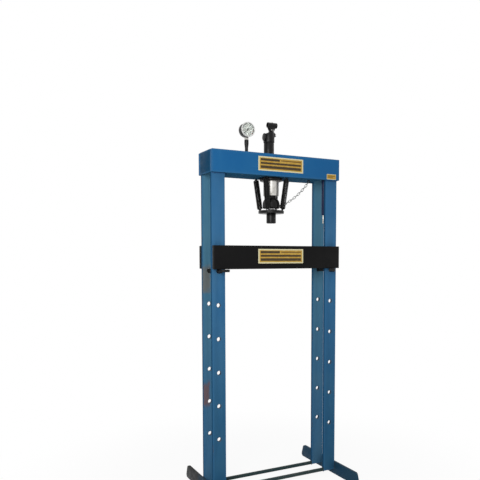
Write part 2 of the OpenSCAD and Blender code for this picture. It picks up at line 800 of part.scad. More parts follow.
module gauge_adapter() {
    color(black) union() {
        rod_z(gauge_x, 0, lid_bottom - adapter_stud, adapter_stud_d, adapter_stud + head_lid_thick + 1);
        translate([gauge_x, 0, head_top]) cylinder(h = adapter_nut, d = adapter_nut_d, $fn = 6);
        translate([gauge_x, 0, 0]) rotate_extrude() polygon([[0, head_top + adapter_nut / 2],
            [adapter_foot_d / 2, head_top + adapter_nut / 2],
            [adapter_foot_d / 2, head_top + adapter_height * 0.45],
            [adapter_d / 2, head_top + adapter_height * 0.75],
            [adapter_d / 2, head_top + adapter_height - 1],
            [adapter_d / 2 - 1, head_top + adapter_height], [0, head_top + adapter_height]]);
    }
}
module gauge_stem() {
    color(bright) difference() {
        union() {
            rod_z(gauge_x, 0, head_top + adapter_height, stem_neck_d, gauge_rise - adapter_height);
            translate([gauge_x - stem_square / 2, -stem_square / 2, head_top + adapter_height + 1])
                cube([stem_square, stem_square, gauge_rise - adapter_height - gauge_d / 2 - 2]);
        }
        rod_y(gauge_x, gauge_front - 5, gauge_z, gauge_d + 2 * run_gap, gauge_depth + 10);
    }
}
module gauge_case() {
    color(black) difference() {
        rod_y(gauge_x, gauge_front, gauge_z, gauge_d, gauge_depth);
        rod_y(gauge_x, gauge_front - 1, gauge_z, gauge_d - 2 * gauge_wall, gauge_depth - gauge_wall + 1);
    }
}
module gauge_bezel() {
    color(bright) difference() {
        rod_y(gauge_x, gauge_front - bezel_depth + 1, gauge_z, gauge_d + 2 * bezel_lip, bezel_depth);
        rod_y(gauge_x, gauge_front - bezel_depth, gauge_z, gauge_d - 2 * gauge_wall - 2, bezel_depth + 5);
        rod_y(gauge_x, lens_y, gauge_z, gauge_d - 2 * gauge_wall + 2 * run_gap, bezel_depth + 5);
        rod_y(gauge_x, gauge_front, gauge_z, gauge_d + 2 * run_gap, bezel_depth + 5);
    }
}
module gauge_dial() {
    color(dial_white) union() {
        rod_y(gauge_x, dial_y, gauge_z, gauge_d - 2 * gauge_wall - 2 * run_gap, dial_thick);
        rod_y(gauge_x, pointer_y + 0.2, gauge_z, pointer_shaft_d, dial_y - pointer_y + 0.5);
        rod_y(gauge_x, dial_y + dial_thick - 0.5, gauge_z, gauge_d / 2,
            gauge_back - gauge_wall - dial_y - dial_thick + 0.5);
    }
}
module gauge_lens() {
    color([0.8, 0.9, 0.95, 0.3]) rod_y(gauge_x, lens_y, gauge_z, gauge_d - 2 * gauge_wall, lens_thick);
}
pointer_length = gauge_d * 0.36;
pointer_tail = 8;
pointer_rest = 225;
pointer_half = 1.4;
pointer_end_half = 0.3;
pointer_hub_d = 6;
pointer_hub_rise = 0.6;
pointer_back = 0.4;
module gauge_pointer() {
    color(black) translate([gauge_x, pointer_y + pointer_thick + 1, gauge_z])
        rotate([90, 0, 0]) difference() {
        union() {
            translate([0, 0, pointer_back]) cylinder(h = pointer_thick + pointer_hub_rise, d = pointer_hub_d);
            rotate(pointer_rest) translate([0, 0, pointer_back]) linear_extrude(pointer_thick)
                polygon([[-pointer_tail, -pointer_half], [0, -pointer_half],
                    [pointer_length, -pointer_end_half], [pointer_length, pointer_end_half],
                    [0, pointer_half], [-pointer_tail, pointer_half]]);
        }
        translate([0, 0, -1]) cylinder(h = 1.6 + 1, d = pointer_shaft_d + 2 * run_gap);
    }
}
module pressure_pipe() {
    color(bright) union() {
        rod_x(gauge_x + pipe_bend, 0, pipe_z, pipe_d, -gauge_x - pipe_bend - barrel_d / 2);
        translate([gauge_x + pipe_bend, 0, pipe_z + pipe_bend]) rotate([90, 0, 0]) rotate([0, 0, 180])
            rotate_extrude(angle = 90) translate([pipe_bend, 0]) circle(d = pipe_d);
        rod_z(gauge_x, 0, pipe_z + pipe_bend, pipe_d, lid_bottom - adapter_stud - pipe_z - pipe_bend);
    }
}

module lever_clips() {
    clip_r = lever_d / 2 + clip_gap;
    color(black) for (z = clip_zs) difference() {
        union() {
            rod_z(lever_x, lever_y, z, 2 * (clip_r + clip_wall), clip_height);
            translate([column_in_x, -column_back_y, z]) cube([clip_r, clip_base, clip_height]);
        }
        rod_z(lever_x, lever_y, z - 1, 2 * clip_r, clip_height + 2);
        translate([lever_x, lever_y, z - 1]) linear_extrude(clip_height + 2)
            polygon([[0, 0], [-2 * clip_r * tan(clip_mouth / 2), 2 * clip_r],
                [2 * clip_r * tan(clip_mouth / 2), 2 * clip_r]]);
        translate([lever_x - 2 * clip_r, -column_back_y - clip_r, z - 1])
            cube([4 * clip_r, clip_r, clip_height + 2]);
    }
}
module lever_grip() {
    color(black) difference() {
        rod_z(lever_x, lever_y, lever_bottom, lever_d, lever_grip_length);
        rod_z(lever_x, lever_y, lever_bottom - 1, lever_tip_d + 2 * run_gap, lever_tip_length + 1);
    }
}
module lever_tip() {
    color(bright)
        rod_z(lever_x, lever_y, lever_bottom - lever_tip_length, lever_tip_d, 2 * lever_tip_length - 1);
}

module bed_plate() {
    upright_plate(2 * column_out_x, bed_height, -bed_face_y, bed_plate_thick, bed_bottom);
}
module bed_front_plate() { color(black) bed_plate(); }
module bed_rear_plate() { color(black) mirror([0, 1, 0]) bed_plate(); }
module bed_spacer(side) {
    color(black) translate([side * spacer_x - spacer_thick / 2, -bed_back_y, spacer_bottom])
        cube([spacer_thick, 2 * bed_back_y, spacer_height]);
}
module bed_spacer_left() { bed_spacer(-1); }
module bed_spacer_right() { bed_spacer(1); }

// round pin with a thinner rod on its front end, bent inwards as a handle
module bed_pin() {
    back = bed_face_y + pin_tail;
    color(black) translate([-column_x, 0, pin_z]) union() {
        rod_y(0, -pin_front, 0, pin_d, back + pin_front - pin_tip);
        translate([0, back - pin_tip, 0]) rotate([-90, 0, 0])
            cylinder(h = pin_tip, d1 = pin_d, d2 = pin_d - 2 * pin_tip);
        translate([0, 0, handle_lift]) {
            translate([pin_bend, -pin_front, 0]) rotate([0, 0, 180])
                rotate_extrude(angle = 90) translate([pin_bend, 0]) circle(d = pin_handle_d);
            rod_x(pin_bend, -handle_y, 0, pin_handle_d, pin_handle);
        }
    }
}
module bed_pin_left() { bed_pin(); }
module bed_pin_right() { mirror([1, 0, 0]) bed_pin(); }

column_front_left();
column_front_right();
column_rear_left();
column_rear_right();
foot_left();
foot_right();
tie_front();
tie_rear();
head_front_plate();
head_rear_plate();
head_floor_plate();
head_lid_plate();
head_cap_left();
head_cap_right();
jack_barrel();
jack_flange();
jack_gland();
rod_wiper();
reservoir();
pump_block();
plunger_gland();
filler_plug();
pivot_pin();
gauge_adapter();
gauge_stem();
gauge_case();
gauge_bezel();
gauge_dial();
gauge_lens();
pressure_pipe();
spring_eyes_head();
spring_front_left();
spring_front_right();
spring_rear_left();
spring_rear_right();
chain();
chain_eye_head();
chain_eye_gland();
lever_clips();
lever_grip();
lever_tip();
piston_rod();
piston();
piston_seal();
spring_plate();
ram_nose();
spring_eyes_plate();
bed_front_plate();
bed_rear_plate();
bed_spacer_left();
bed_spacer_right();
bed_pin_left();
bed_pin_right();
lever_socket();
socket_screw();
pump_plunger();
release_valve();
gauge_pointer();
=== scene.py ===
import json
import math
import bmesh
import bpy
from mathutils import Matrix, Vector


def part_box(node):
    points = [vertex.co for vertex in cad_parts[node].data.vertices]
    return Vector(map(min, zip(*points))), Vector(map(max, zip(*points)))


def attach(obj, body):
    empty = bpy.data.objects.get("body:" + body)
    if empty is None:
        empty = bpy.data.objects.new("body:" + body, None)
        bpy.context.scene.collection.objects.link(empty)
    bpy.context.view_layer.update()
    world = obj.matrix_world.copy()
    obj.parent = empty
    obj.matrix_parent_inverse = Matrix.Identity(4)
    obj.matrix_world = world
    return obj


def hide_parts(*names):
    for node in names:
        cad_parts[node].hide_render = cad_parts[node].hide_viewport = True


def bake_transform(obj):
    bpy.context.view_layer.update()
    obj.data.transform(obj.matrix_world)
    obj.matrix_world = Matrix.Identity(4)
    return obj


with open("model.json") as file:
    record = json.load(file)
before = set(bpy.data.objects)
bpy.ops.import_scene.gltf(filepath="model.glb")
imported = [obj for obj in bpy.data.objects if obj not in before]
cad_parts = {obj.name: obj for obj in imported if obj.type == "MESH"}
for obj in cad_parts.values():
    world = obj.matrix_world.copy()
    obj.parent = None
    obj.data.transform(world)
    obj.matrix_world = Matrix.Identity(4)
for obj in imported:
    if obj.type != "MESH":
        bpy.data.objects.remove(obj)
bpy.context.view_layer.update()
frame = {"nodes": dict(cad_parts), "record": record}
nodes = frame["nodes"]
bodies = frame["record"]["behaviour"]["bodies"]
bodyOf = {n: b for b, members in bodies.items() for n in members}
scene = bpy.context.scene
scene.view_settings.view_transform = "Standard"
print("frame loaded with", len(nodes), "nodes")

mm = 0.001


def boxInMm(node):
    low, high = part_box(node)
    return low / mm, high / mm


# camera, fitted to the photograph: metres, degrees and the photo's pixels

photoView = {"place": (-1.33541, -2.47478, 1.0947), "tiltDown": 3.94, "turn": 28.076, "focal": 588.62,
             "middle": (268.28, 297.7), "frameSize": 480, "sensor": 36, "clip": (0.05, 80)}


def placeCamera(v):
    data = bpy.data.cameras.new("photoCamera")
    data.sensor_width = v["sensor"]
    data.lens = v["focal"] / v["frameSize"] * v["sensor"]
    data.shift_x = 0.5 - v["middle"][0] / v["frameSize"]
    data.shift_y = v["middle"][1] / v["frameSize"] - 0.5
    data.clip_start, data.clip_end = v["clip"]
    cam = bpy.data.objects.new("photoCamera", data)
    scene.collection.objects.link(cam)
    cam.location = v["place"]
    cam.rotation_euler = (math.radians(90 - v["tiltDown"]), 0, -math.radians(v["turn"]))
    scene.camera = cam


placeCamera(photoView)


# small helpers for node trees

def tint(r, g, b):  # screen values from 0 to 255 as a linear colour
    def lin(c):
        c /= 255
        return c / 12.92 if c <= 0.04045 else ((c + 0.055) / 1.055) ** 2.4
    return (lin(r), lin(g), lin(b), 1)


def put(tree, target, value):
    if isinstance(value, bpy.types.NodeSocket):
        tree.links.new(value, target)
    elif value is not None:
        target.default_value = value


def calc(tree, op, a, b=None, c=None, clamp=False):
    n = tree.nodes.new("ShaderNodeMath")
    n.operation, n.use_clamp = op, clamp
    for s, v in zip(n.inputs, (a, b, c)):
        put(tree, s, v)
    return n.outputs[0]


def plus(tree, a, b, clamp=False):
    return calc(tree, "ADD", a, b, clamp=clamp)


def less(tree, a, b):
    return calc(tree, "SUBTRACT", a, b)


def times(tree, a, b):
    return calc(tree, "MULTIPLY", a, b)


def vecCalc(tree, op, a, b=None):
    n = tree.nodes.new("ShaderNodeVectorMath")
    n.operation = op
    put(tree, n.inputs[0], a)
    put(tree, n.inputs[1], b)
    return n.outputs["Value"] if op == "LENGTH" else n.outputs["Vector"]


def ease(tree, x, low, high, first=0.0, last=1.0):
    n = tree.nodes.new("ShaderNodeMapRange")
    n.interpolation_type = "SMOOTHSTEP"
    put(tree, n.inputs["Value"], x)
    for name, v in (("From Min", low), ("From Max", high), ("To Min", first), ("To Max", last)):
        put(tree, n.inputs[name], v)
    return n.outputs["Result"]


def blendColour(tree, mask, a, b):
    n = tree.nodes.new("ShaderNodeMix")
    n.data_type = "RGBA"
    put(tree, n.inputs[0], mask)
    put(tree, n.inputs[6], a)
    put(tree, n.inputs[7], b)
    return n.outputs[2]


def cloud(tree, vector, scale, detail=2.0, rough=0.5):
    n = tree.nodes.new("ShaderNodeTexNoise")
    for name, v in (("Vector", vector), ("Scale", scale), ("Detail", detail), ("Roughness", rough)):
        put(tree, n.inputs[name], v)
    return n.outputs[0]


def axes(tree, vector):
    n = tree.nodes.new("ShaderNodeSeparateXYZ")
    put(tree, n.inputs[0], vector)
    return n.outputs


def joinAxes(tree, x, y, z):
    n = tree.nodes.new("ShaderNodeCombineXYZ")
    for s, v in zip(n.inputs, (x, y, z)):
        put(tree, s, v)
    return n.outputs[0]


def newGroup(name, inputs, outputs):
    g = bpy.data.node_groups.new(name, "ShaderNodeTree")
    for label, kind, value in inputs:
        s = g.interface.new_socket(label, in_out="INPUT", socket_type="NodeSocket" + kind)
        if value is not None:
            s.default_value = value
    for label, kind in outputs:
        g.interface.new_socket(label, in_out="OUTPUT", socket_type="NodeSocket" + kind)
    return g, g.nodes.new("NodeGroupInput").outputs, g.nodes.new("NodeGroupOutput").inputs


def useGroup(tree, group, **values):
    n = tree.nodes.new("ShaderNodeGroup")
    n.node_tree = group
    for name, v in values.items():
        put(tree, n.inputs[name], v)
    return n.outputs


# shared surface effects

noiseScale = {  # how many waves of noise there are in a metre
    "fade": 5.5, "runs": (34, 34, 1.6), "sheen": 40, "peel": 520, "ripple": 90,
    "grit": 260, "worn": 14, "ring": 220, "spot": 55,
    "grime": 32, "dull": 90, "cast": 420, "swell": 120,
    "lathe": (6, 6, 1500), "stain": 45, "dust": 26,
}
pinHoles = {"Side": 0.2985, "Lowest": 0.27, "Pitch": 0.1525, "Last": 5.0, "Radius": 0.0095,
            "Reach": 0.004}  # metres, with the holes counted from 0
surface = [("Colour", "Color"), ("Roughness", "Float"), ("Height", "Float")]  # what a surface effect gives


def surfaceInputs(second, gloss):
    return [("Vector", "Vector", None), ("Colour", "Color", None), (second, "Color", None),
            ("Gloss", "Float", gloss)]


def makePaintSkin():
    g, i, o = newGroup("paintSkin", surfaceInputs("Faded", 0.4), surface)
    here, s = i["Vector"], noiseScale
    broad = cloud(g, here, s["fade"], 3)
    runs = cloud(g, vecCalc(g, "MULTIPLY", here, s["runs"]), 1.0, 3)
    fade = plus(g, ease(g, broad, 0.35, 0.75, 0, 0.7), ease(g, runs, 0.5, 0.75, 0, 0.3), clamp=True)
    put(g, o["Colour"], blendColour(g, fade, i["Colour"], i["Faded"]))
    sheen = ease(g, cloud(g, here, s["sheen"], 3), 0.3, 0.75, -0.06, 0.12)
    put(g, o["Roughness"], plus(g, i["Gloss"], sheen))
    peel = times(g, cloud(g, here, s["peel"], 1), 0.7)
    put(g, o["Height"], plus(g, peel, times(g, cloud(g, here, s["ripple"], 1), 0.6)))
    return g


def makeBoxWear():  # bare steel along the edges of a box with the given centre and half sizes
    g, i, o = newGroup("boxWear", [("Vector", "Vector", None), ("Centre", "Vector", None),
                                   ("Half", "Vector", None), ("Width", "Float", 0.003)],
                       [("Chips", "Float"), ("Rub", "Float")])
    here, s = i["Vector"], noiseScale
    away = vecCalc(g, "ABSOLUTE", vecCalc(g, "SUBTRACT", here, i["Centre"]))
    x, y, z = axes(g, vecCalc(g, "SUBTRACT", i["Half"], away))
    least = calc(g, "MINIMUM", x, y)
    most = calc(g, "MAXIMUM", x, y)
    toEdge = calc(g, "DIVIDE", calc(g, "MAXIMUM", least, calc(g, "MINIMUM", most, z)), i["Width"])
    grit = cloud(g, here, s["grit"], 4, 0.65)
    where = ease(g, cloud(g, here, s["worn"], 2), 0.58, 0.76)
    bite = times(g, ease(g, grit, 0.38, 0.66, 0, 1.3), where)
    put(g, o["Chips"], ease(g, less(g, toEdge, bite), -0.12, 0.1, 1, 0))
    # a lighter band along the edges: rubbed paint, partly a painted edge highlight
    put(g, o["Rub"], ease(g, plus(g, toEdge, times(g, grit, 1.5)), 0.6, 4.5, 0.55, 0))
    return g


def makeHoleRub():  # scuffed ring round each pin hole of a column
    sizes = [(name, "Float", v) for name, v in pinHoles.items()]
    g, i, o = newGroup("holeRub", [("Vector", "Vector", None)] + sizes, [("Mask", "Float")])
    x, _, z = axes(g, i["Vector"])
    up = less(g, z, i["Lowest"])
    row = calc(g, "ROUND", calc(g, "DIVIDE", up, i["Pitch"]))
    row = calc(g, "MINIMUM", calc(g, "MAXIMUM", row, 0.0), i["Last"])
    dz = less(g, up, times(g, row, i["Pitch"]))
    dx = less(g, calc(g, "ABSOLUTE", x), i["Side"])
    far = vecCalc(g, "LENGTH", joinAxes(g, dx, dz, 0.0))
    ragged = times(g, ease(g, cloud(g, i["Vector"], noiseScale["ring"], 3), 0.35, 0.7), i["Reach"])
    put(g, o["Mask"], ease(g, less(g, far, i["Radius"]), 0.0002, plus(g, ragged, 0.0006), 1, 0))
    return g


def makePatch():  # ragged spot of another colour
    g, i, o = newGroup("ruggedPatch", [("Vector", "Vector", None), ("Centre", "Vector", None),
                                       ("Size", "Vector", None), ("Ragged", "Float", 0.7)],
                       [("Mask", "Float")])
    gap = vecCalc(g, "DIVIDE", vecCalc(g, "SUBTRACT", i["Vector"], i["Centre"]), i["Size"])
    x, y, z = axes(g, vecCalc(g, "ABSOLUTE", gap))
    far = calc(g, "MAXIMUM", calc(g, "MAXIMUM", x, y), z)
    waver = less(g, cloud(g, i["Vector"], noiseScale["spot"], 4), 0.5)
    put(g, o["Mask"], ease(g, plus(g, far, times(g, waver, i["Ragged"])), 0.5, 1.1, 1, 0))
    return g


def makeEnamel():  # dark enamel over castings and turned pieces
    g, i, o = newGroup("darkEnamel", surfaceInputs("Dust", 0.42), surface)
    here, s = i["Vector"], noiseScale
    grime = ease(g, cloud(g, here, s["grime"], 4, 0.6), 0.42, 0.8, 0, 0.55)
    put(g, o["Colour"], blendColour(g, grime, i["Colour"], i["Dust"]))
    dull = ease(g, cloud(g, here, s["dull"], 3), 0.3, 0.75, -0.08, 0.16)
    put(g, o["Roughness"], plus(g, i["Gloss"], dull))
    swell = times(g, cloud(g, here, s["swell"], 2), 1.2)
    put(g, o["Height"], plus(g, cloud(g, here, s["cast"], 2), swell))
    return g


def makeTurned():  # fine lathe rings across Z and small stains
    g, i, o = newGroup("latheLines", surfaceInputs("Stain", 0.25), surface)
    here, s = i["Vector"], noiseScale
    rings = cloud(g, vecCalc(g, "MULTIPLY", here, s["lathe"]), 1.0, 2)
    broad = cloud(g, here, s["stain"], 4, 0.6)
    put(g, o["Colour"], blendColour(g, ease(g, broad, 0.45, 0.8, 0, 0.75), i["Colour"], i["Stain"]))
    dull = ease(g, plus(g, rings, times(g, broad, 0.6)), 0.5, 1.1, 0, 0.2)
    put(g, o["Roughness"], plus(g, i["Gloss"], dull))
    put(g, o["Height"], rings)
    return g


def makeDust():  # what settles on faces that look up
    g, i, o = newGroup("settledDust", [("Vector", "Vector", None), ("Normal", "Vector", None)],
                       [("Mask", "Float")])
    up = ease(g, axes(g, i["Normal"])[2], 0.6, 0.98)
    uneven = ease(g, cloud(g, i["Vector"], noiseScale["dust"], 4, 0.6), 0.3, 0.8, 0.1, 0.65)
    put(g, o["Mask"], times(g, up, uneven))
    return g


paintSkin, boxWear, holeRub, ruggedPatch = makePaintSkin(), makeBoxWear(), makeHoleRub(), makePatch()
darkEnamel, latheLines, settledDust = makeEnamel(), makeTurned(), makeDust()
print("shared effects made")


# materials

def newMaterial(name):
    m = bpy.data.materials.new(name)
    m.use_nodes = True
    tree = m.node_tree
    tree.nodes.clear()
    shader = tree.nodes.new("ShaderNodeBsdfPrincipled")
    out = tree.nodes.new("ShaderNodeOutputMaterial")
    tree.links.new(shader.outputs[0], out.inputs["Surface"])
    here = tree.nodes.new("ShaderNodeTexCoord").outputs["Object"]
    return m, tree, shader.inputs, here


def bumpTo(tree, shader, height, distance, strength):
    n = tree.nodes.new("ShaderNodeBump")
    n.inputs["Strength"].default_value = strength
    n.inputs["Distance"].default_value = distance
    tree.links.new(height, n.inputs["Height"])
    tree.links.new(n.outputs[0], shader["Normal"])


def attributeOf(tree, name):
    n = tree.nodes.new("ShaderNodeAttribute")
    n.attribute_name = name
    return n.outputs["Vector"]


def faceNormal(tree):
    return tree.nodes.new("ShaderNodeNewGeometry").outputs["Normal"]


def edgeWear(tree, here, width):
    centre, half = attributeOf(tree, "boxCentre"), attributeOf(tree, "boxHalf")
    return useGroup(tree, boxWear, Vector=here, Centre=centre, Half=half, Width=width)


def dustOver(tree, shader, here, colour, rough, look):  # the last layer of a painted surface
    dust = useGroup(tree, settledDust, Vector=here, Normal=faceNormal(tree))["Mask"]
    dusty = blendColour(tree, times(tree, dust, look["dustShare"]), colour, look["dust"])
    put(tree, shader["Base Color"], dusty)
    put(tree, shader["Roughness"], plus(tree, rough, times(tree, dust, look["dustRough"]), clamp=True))


def mottle(tree, here, scale, detail, span, share, a, b):  # one colour clouded with another
    return blendColour(tree, ease(tree, cloud(tree, here, scale, detail), *span, 0, share), a, b)


paintLook = {
    # high and low are a painted light gradient: lighter at the top, darker towards the bottom
    "columnPaint": {"high": tint(50, 101, 143), "low": tint(38, 84, 117), "fadedHigh": tint(66, 113, 150),
                    "fadedLow": tint(50, 94, 123), "gleam": 0.04, "holes": True, "spots": False},
    # painted light: the rear columns get a lighter copy of the column paint, offsetting the front columns'
    # shade on them
    "rearPaint": {"high": tint(73, 120, 145), "low": tint(58, 103, 137), "fadedHigh": tint(83, 128, 149),
                  "fadedLow": tint(70, 111, 139), "gleam": 0.04, "holes": True, "spots": True},
    "headPaint": {"high": tint(30, 93, 145), "low": tint(30, 93, 145), "fadedHigh": tint(39, 101, 149),
                  "fadedLow": tint(39, 101, 149), "gleam": 0.05, "holes": False, "spots": False},
    # painted shade: the end caps get a darker copy of the head paint, as their faces turn away from the lamps
    "capPaint": {"high": tint(14, 63, 95), "low": tint(14, 63, 95), "fadedHigh": tint(22, 71, 99),
                 "fadedLow": tint(22, 71, 99), "gleam": 0.02, "holes": False, "spots": False},
    "steel": tint(84, 86, 88), "rubbed": tint(54, 104, 144), "edge": 0.003, "ringShare": 0.8,
    "rustSpot": {"centre": (-0.316, 0.0487, 0.456), "size": (0.019, 0.008, 0.066),
                 "colour": tint(112, 86, 84)},
    "greySpot": {"centre": (-0.313, 0.0487, 0.992), "size": (0.026, 0.008, 0.072),
                 "colour": tint(112, 112, 106)},
    # under and the bar edge colour are painted shade for the head's underside and the bars' narrow faces
    "spotShare": 0.85, "under": tint(32, 80, 106), "paintedBarEdgeShade": tint(20, 70, 104), "thinRough": 0.6,
    "lightFrom": 0.15, "lightTo": 1.2, "gloss": 0.42, "chipMetal": 0.4, "chipDepth": 0.8,
    "dust": tint(120, 132, 138), "dustShare": 0.35, "dustRough": 0.3, "skinDepth": 0.00016, "bump": 0.6,
}


def makeFramePaint(name):
    p = paintLook
    own = p[name]
    m, tree, shader, here = newMaterial(name)
    # painted shade: the colour runs from low to high up the frame, darker towards the bottom where the lamp
    # light falls off
    rise = ease(tree, axes(tree, here)[2], p["lightFrom"], p["lightTo"])
    skin = useGroup(tree, paintSkin, Vector=here, Colour=blendColour(tree, rise, own["low"], own["high"]),
                    Faded=blendColour(tree, rise, own["fadedLow"], own["fadedHigh"]), Gloss=p["gloss"])
    wear = edgeWear(tree, here, p["edge"])
    # rubbed paint along the edges, partly a painted edge highlight
    colour = blendColour(tree, wear["Rub"], skin["Colour"], p["rubbed"])
    chips = wear["Chips"]
    if own["holes"]:
        ring = useGroup(tree, holeRub, Vector=here)["Mask"]
        chips = calc(tree, "MAXIMUM", chips, times(tree, ring, p["ringShare"]))
    if own["spots"]:
        for spot in (p["rustSpot"], p["greySpot"]):
            mask = useGroup(tree, ruggedPatch, Vector=here, Centre=spot["centre"], Size=spot["size"])["Mask"]
            colour = blendColour(tree, times(tree, mask, p["spotShare"]), colour, spot["colour"])
    colour = blendColour(tree, chips, colour, p["steel"])
    across, _, upward = axes(tree, faceNormal(tree))
    if own["holes"]:  # painted shade on the flat bar's narrow side faces, which are also made rougher
        thin, paintedShadeColour = ease(tree, calc(tree, "ABSOLUTE", across), 0.6, 0.95, 0, 0.8), p["paintedBarEdgeShade"]
    else:  # painted shade on the head's underside, which is also made rougher
        thin, paintedShadeColour = ease(tree, upward, -0.95, -0.6, 0.85, 0), p["under"]
    colour = blendColour(tree, thin, colour, paintedShadeColour)
    rough = calc(tree, "MULTIPLY_ADD", thin, p["thinRough"], skin["Roughness"])
    dustOver(tree, shader, here, colour, rough, p)
    put(tree, shader["Metallic"], times(tree, chips, p["chipMetal"]))
    shader["Specular IOR Level"].default_value = own["gleam"]
    height = less(tree, skin["Height"], times(tree, chips, p["chipDepth"]))
    bumpTo(tree, shader, height, p["skinDepth"], p["bump"])
    return m


columnPaint, rearPaint = makeFramePaint("columnPaint"), makeFramePaint("rearPaint")
headPaint, capPaint = makeFramePaint("headPaint"), makeFramePaint("capPaint")

darkPaintLook = {
    "bedPaint": {"colour": tint(6, 6, 7), "faded": tint(12, 11, 11), "gloss": 0.48, "wear": 0.7},
    "basePaint": {"colour": tint(22, 58, 82), "faded": tint(34, 62, 78), "gloss": 0.5, "wear": 0.8,
                  "rear": tint(36, 38, 38)},
    "tiePaint": {"colour": tint(36, 57, 60), "faded": tint(52, 64, 63), "gloss": 0.5, "wear": 0.8},
    "grimeX": (-0.1, 0.0), "grimeY": (0.03, 0.12),
    "steel": tint(92, 88, 82), "edge": 0.0035, "rubAndHighlightShare": 0.5, "chipMetal": 0.7, "gleam": 0.1,
    "dust": tint(110, 106, 98), "dustShare": 0.3, "dustRough": 0.3, "skinDepth": 0.00016, "bump": 0.6,
}


def makeDarkPaint(name):
    p = darkPaintLook
    own = p[name]
    m, tree, shader, here = newMaterial(name)
    colour, faded = own["colour"], own["faded"]
    if "rear" in own:  # the left foot's rear end is grimed
        x, y, _ = axes(tree, here)
        grimed = times(tree, ease(tree, x, *p["grimeX"], 1, 0), ease(tree, y, *p["grimeY"]))
        colour = blendColour(tree, grimed, colour, own["rear"])
        faded = blendColour(tree, grimed, faded, own["rear"])
    skin = useGroup(tree, paintSkin, Vector=here, Colour=colour, Faded=faded, Gloss=own["gloss"])
    wear = edgeWear(tree, here, p["edge"])
    worn = times(tree, wear["Chips"], own["wear"])
    # rubbed paint along the edges, partly a painted edge highlight
    shade = blendColour(tree, times(tree, wear["Rub"], p["rubAndHighlightShare"]), skin["Colour"], faded)
    shade = blendColour(tree, worn, shade, p["steel"])
    dustOver(tree, shader, here, shade, skin["Roughness"], p)
    put(tree, shader["Metallic"], times(tree, worn, p["chipMetal"]))
    shader["Specular IOR Level"].default_value = p["gleam"]
    bumpTo(tree, shader, less(tree, skin["Height"], worn), p["skinDepth"], p["bump"])
    return m


bedPaint, basePaint = makeDarkPaint("bedPaint"), makeDarkPaint("basePaint")
tiePaint = makeDarkPaint("tiePaint")

enamelLook = {"dust": tint(104, 100, 94), "dustShare": 0.3, "dustRough": 0.25, "gleam": 0.2, "bump": 0.5}


def makeEnamelMaterial(name, colour, grime, gloss, depth):
    p = enamelLook
    m, tree, shader, here = newMaterial(name)
    skin = useGroup(tree, darkEnamel, Vector=here, Colour=colour, Dust=grime, Gloss=gloss)
    dustOver(tree, shader, here, skin["Colour"], skin["Roughness"], p)
    shader["Specular IOR Level"].default_value = p["gleam"]
    bumpTo(tree, shader, skin["Height"], depth, p["bump"])
    return m


jackBlack = makeEnamelMaterial("jackBlack", tint(9, 9, 10), tint(22, 20, 19), 0.36, 0.0003)
springBlack = makeEnamelMaterial("springBlack", tint(9, 9, 9), tint(24, 21, 18), 0.34, 0.00012)
leverBlack = makeEnamelMaterial("leverBlack", tint(14, 28, 62), tint(24, 38, 70), 0.4, 0.00015)
gaugeBlack = makeEnamelMaterial("gaugeBlack", tint(9, 9, 10), tint(20, 20, 20), 0.3, 0.0001)
pointerBlack = makeEnamelMaterial("pointerBlack", tint(16, 16, 17), tint(26, 26, 27), 0.5, 0.00005)
sealRubber = makeEnamelMaterial("sealRubber", tint(22, 22, 22), tint(38, 37, 36), 0.62, 0.0002)
pinBlack = makeEnamelMaterial("pinBlack", tint(14, 14, 14), tint(38, 35, 32), 0.42, 0.00015)


def makeSteel(name, colour, stain, gloss, lines):
    m, tree, shader, here = newMaterial(name)
    skin = useGroup(tree, latheLines, Vector=here, Colour=colour, Stain=stain, Gloss=gloss)
    put(tree, shader["Base Color"], skin["Colour"])
    put(tree, shader["Roughness"], skin["Roughness"])
    shader["Metallic"].default_value = 1.0
    bumpTo(tree, shader, skin["Height"], lines, 0.5)
    return m


barrelSteel = makeSteel("barrelSteel", tint(205, 203, 198), tint(150, 146, 138), 0.34, 0.00004)
brightSteel = makeSteel("brightSteel", tint(190, 188, 184), tint(140, 136, 128), 0.28, 0.00004)
rodChrome = makeSteel("rodChrome", tint(214, 214, 214), tint(180, 180, 178), 0.12, 0.00001)
chainZinc = makeSteel("chainZinc", tint(176, 178, 176), tint(118, 116, 112), 0.36, 0.00003)
gaugeRing = makeSteel("gaugeRing", tint(206, 206, 204), tint(160, 160, 158), 0.3, 0.00002)

gaugeLook = {"face": tint(238, 238, 232), "faceAged": tint(222, 220, 208), "ink": tint(60, 60, 60),
             "inkWorn": tint(84, 82, 80), "red": tint(176, 36, 30), "redWorn": tint(150, 40, 34),
             "glass": tint(248, 251, 250), "glassDull": tint(240, 246, 246), "glassIndex": 1.46}


def makeDialWhite(p):
    m, tree, shader, here = newMaterial("dialWhite")
    put(tree, shader["Base Color"], mottle(tree, here, 120, 3, (0.35, 0.8), 0.6, p["face"], p["faceAged"]))
    put(tree, shader["Roughness"], ease(tree, cloud(tree, here, 300, 2), 0.3, 0.7, 0.42, 0.55))
    return m


def makeDialInk(name, colour, worn):
    m, tree, shader, here = newMaterial(name)
    put(tree, shader["Base Color"], mottle(tree, here, 900, 2, (0.35, 0.75), 0.6, colour, worn))
    put(tree, shader["Roughness"], ease(tree, cloud(tree, here, 700, 2), 0.3, 0.7, 0.45, 0.6))
    return m


def makeGlass(p):
    m, tree, shader, here = newMaterial("gaugeGlass")
    put(tree, shader["Base Color"], mottle(tree, here, 60, 2, (0.4, 0.7), 1.0, p["glass"], p["glassDull"]))
    put(tree, shader["Roughness"], ease(tree, cloud(tree, here, 180, 4, 0.6), 0.55, 0.85, 0.0, 0.06))
    shader["Transmission Weight"].default_value = 1.0
    shader["IOR"].default_value = p["glassIndex"]
    return m


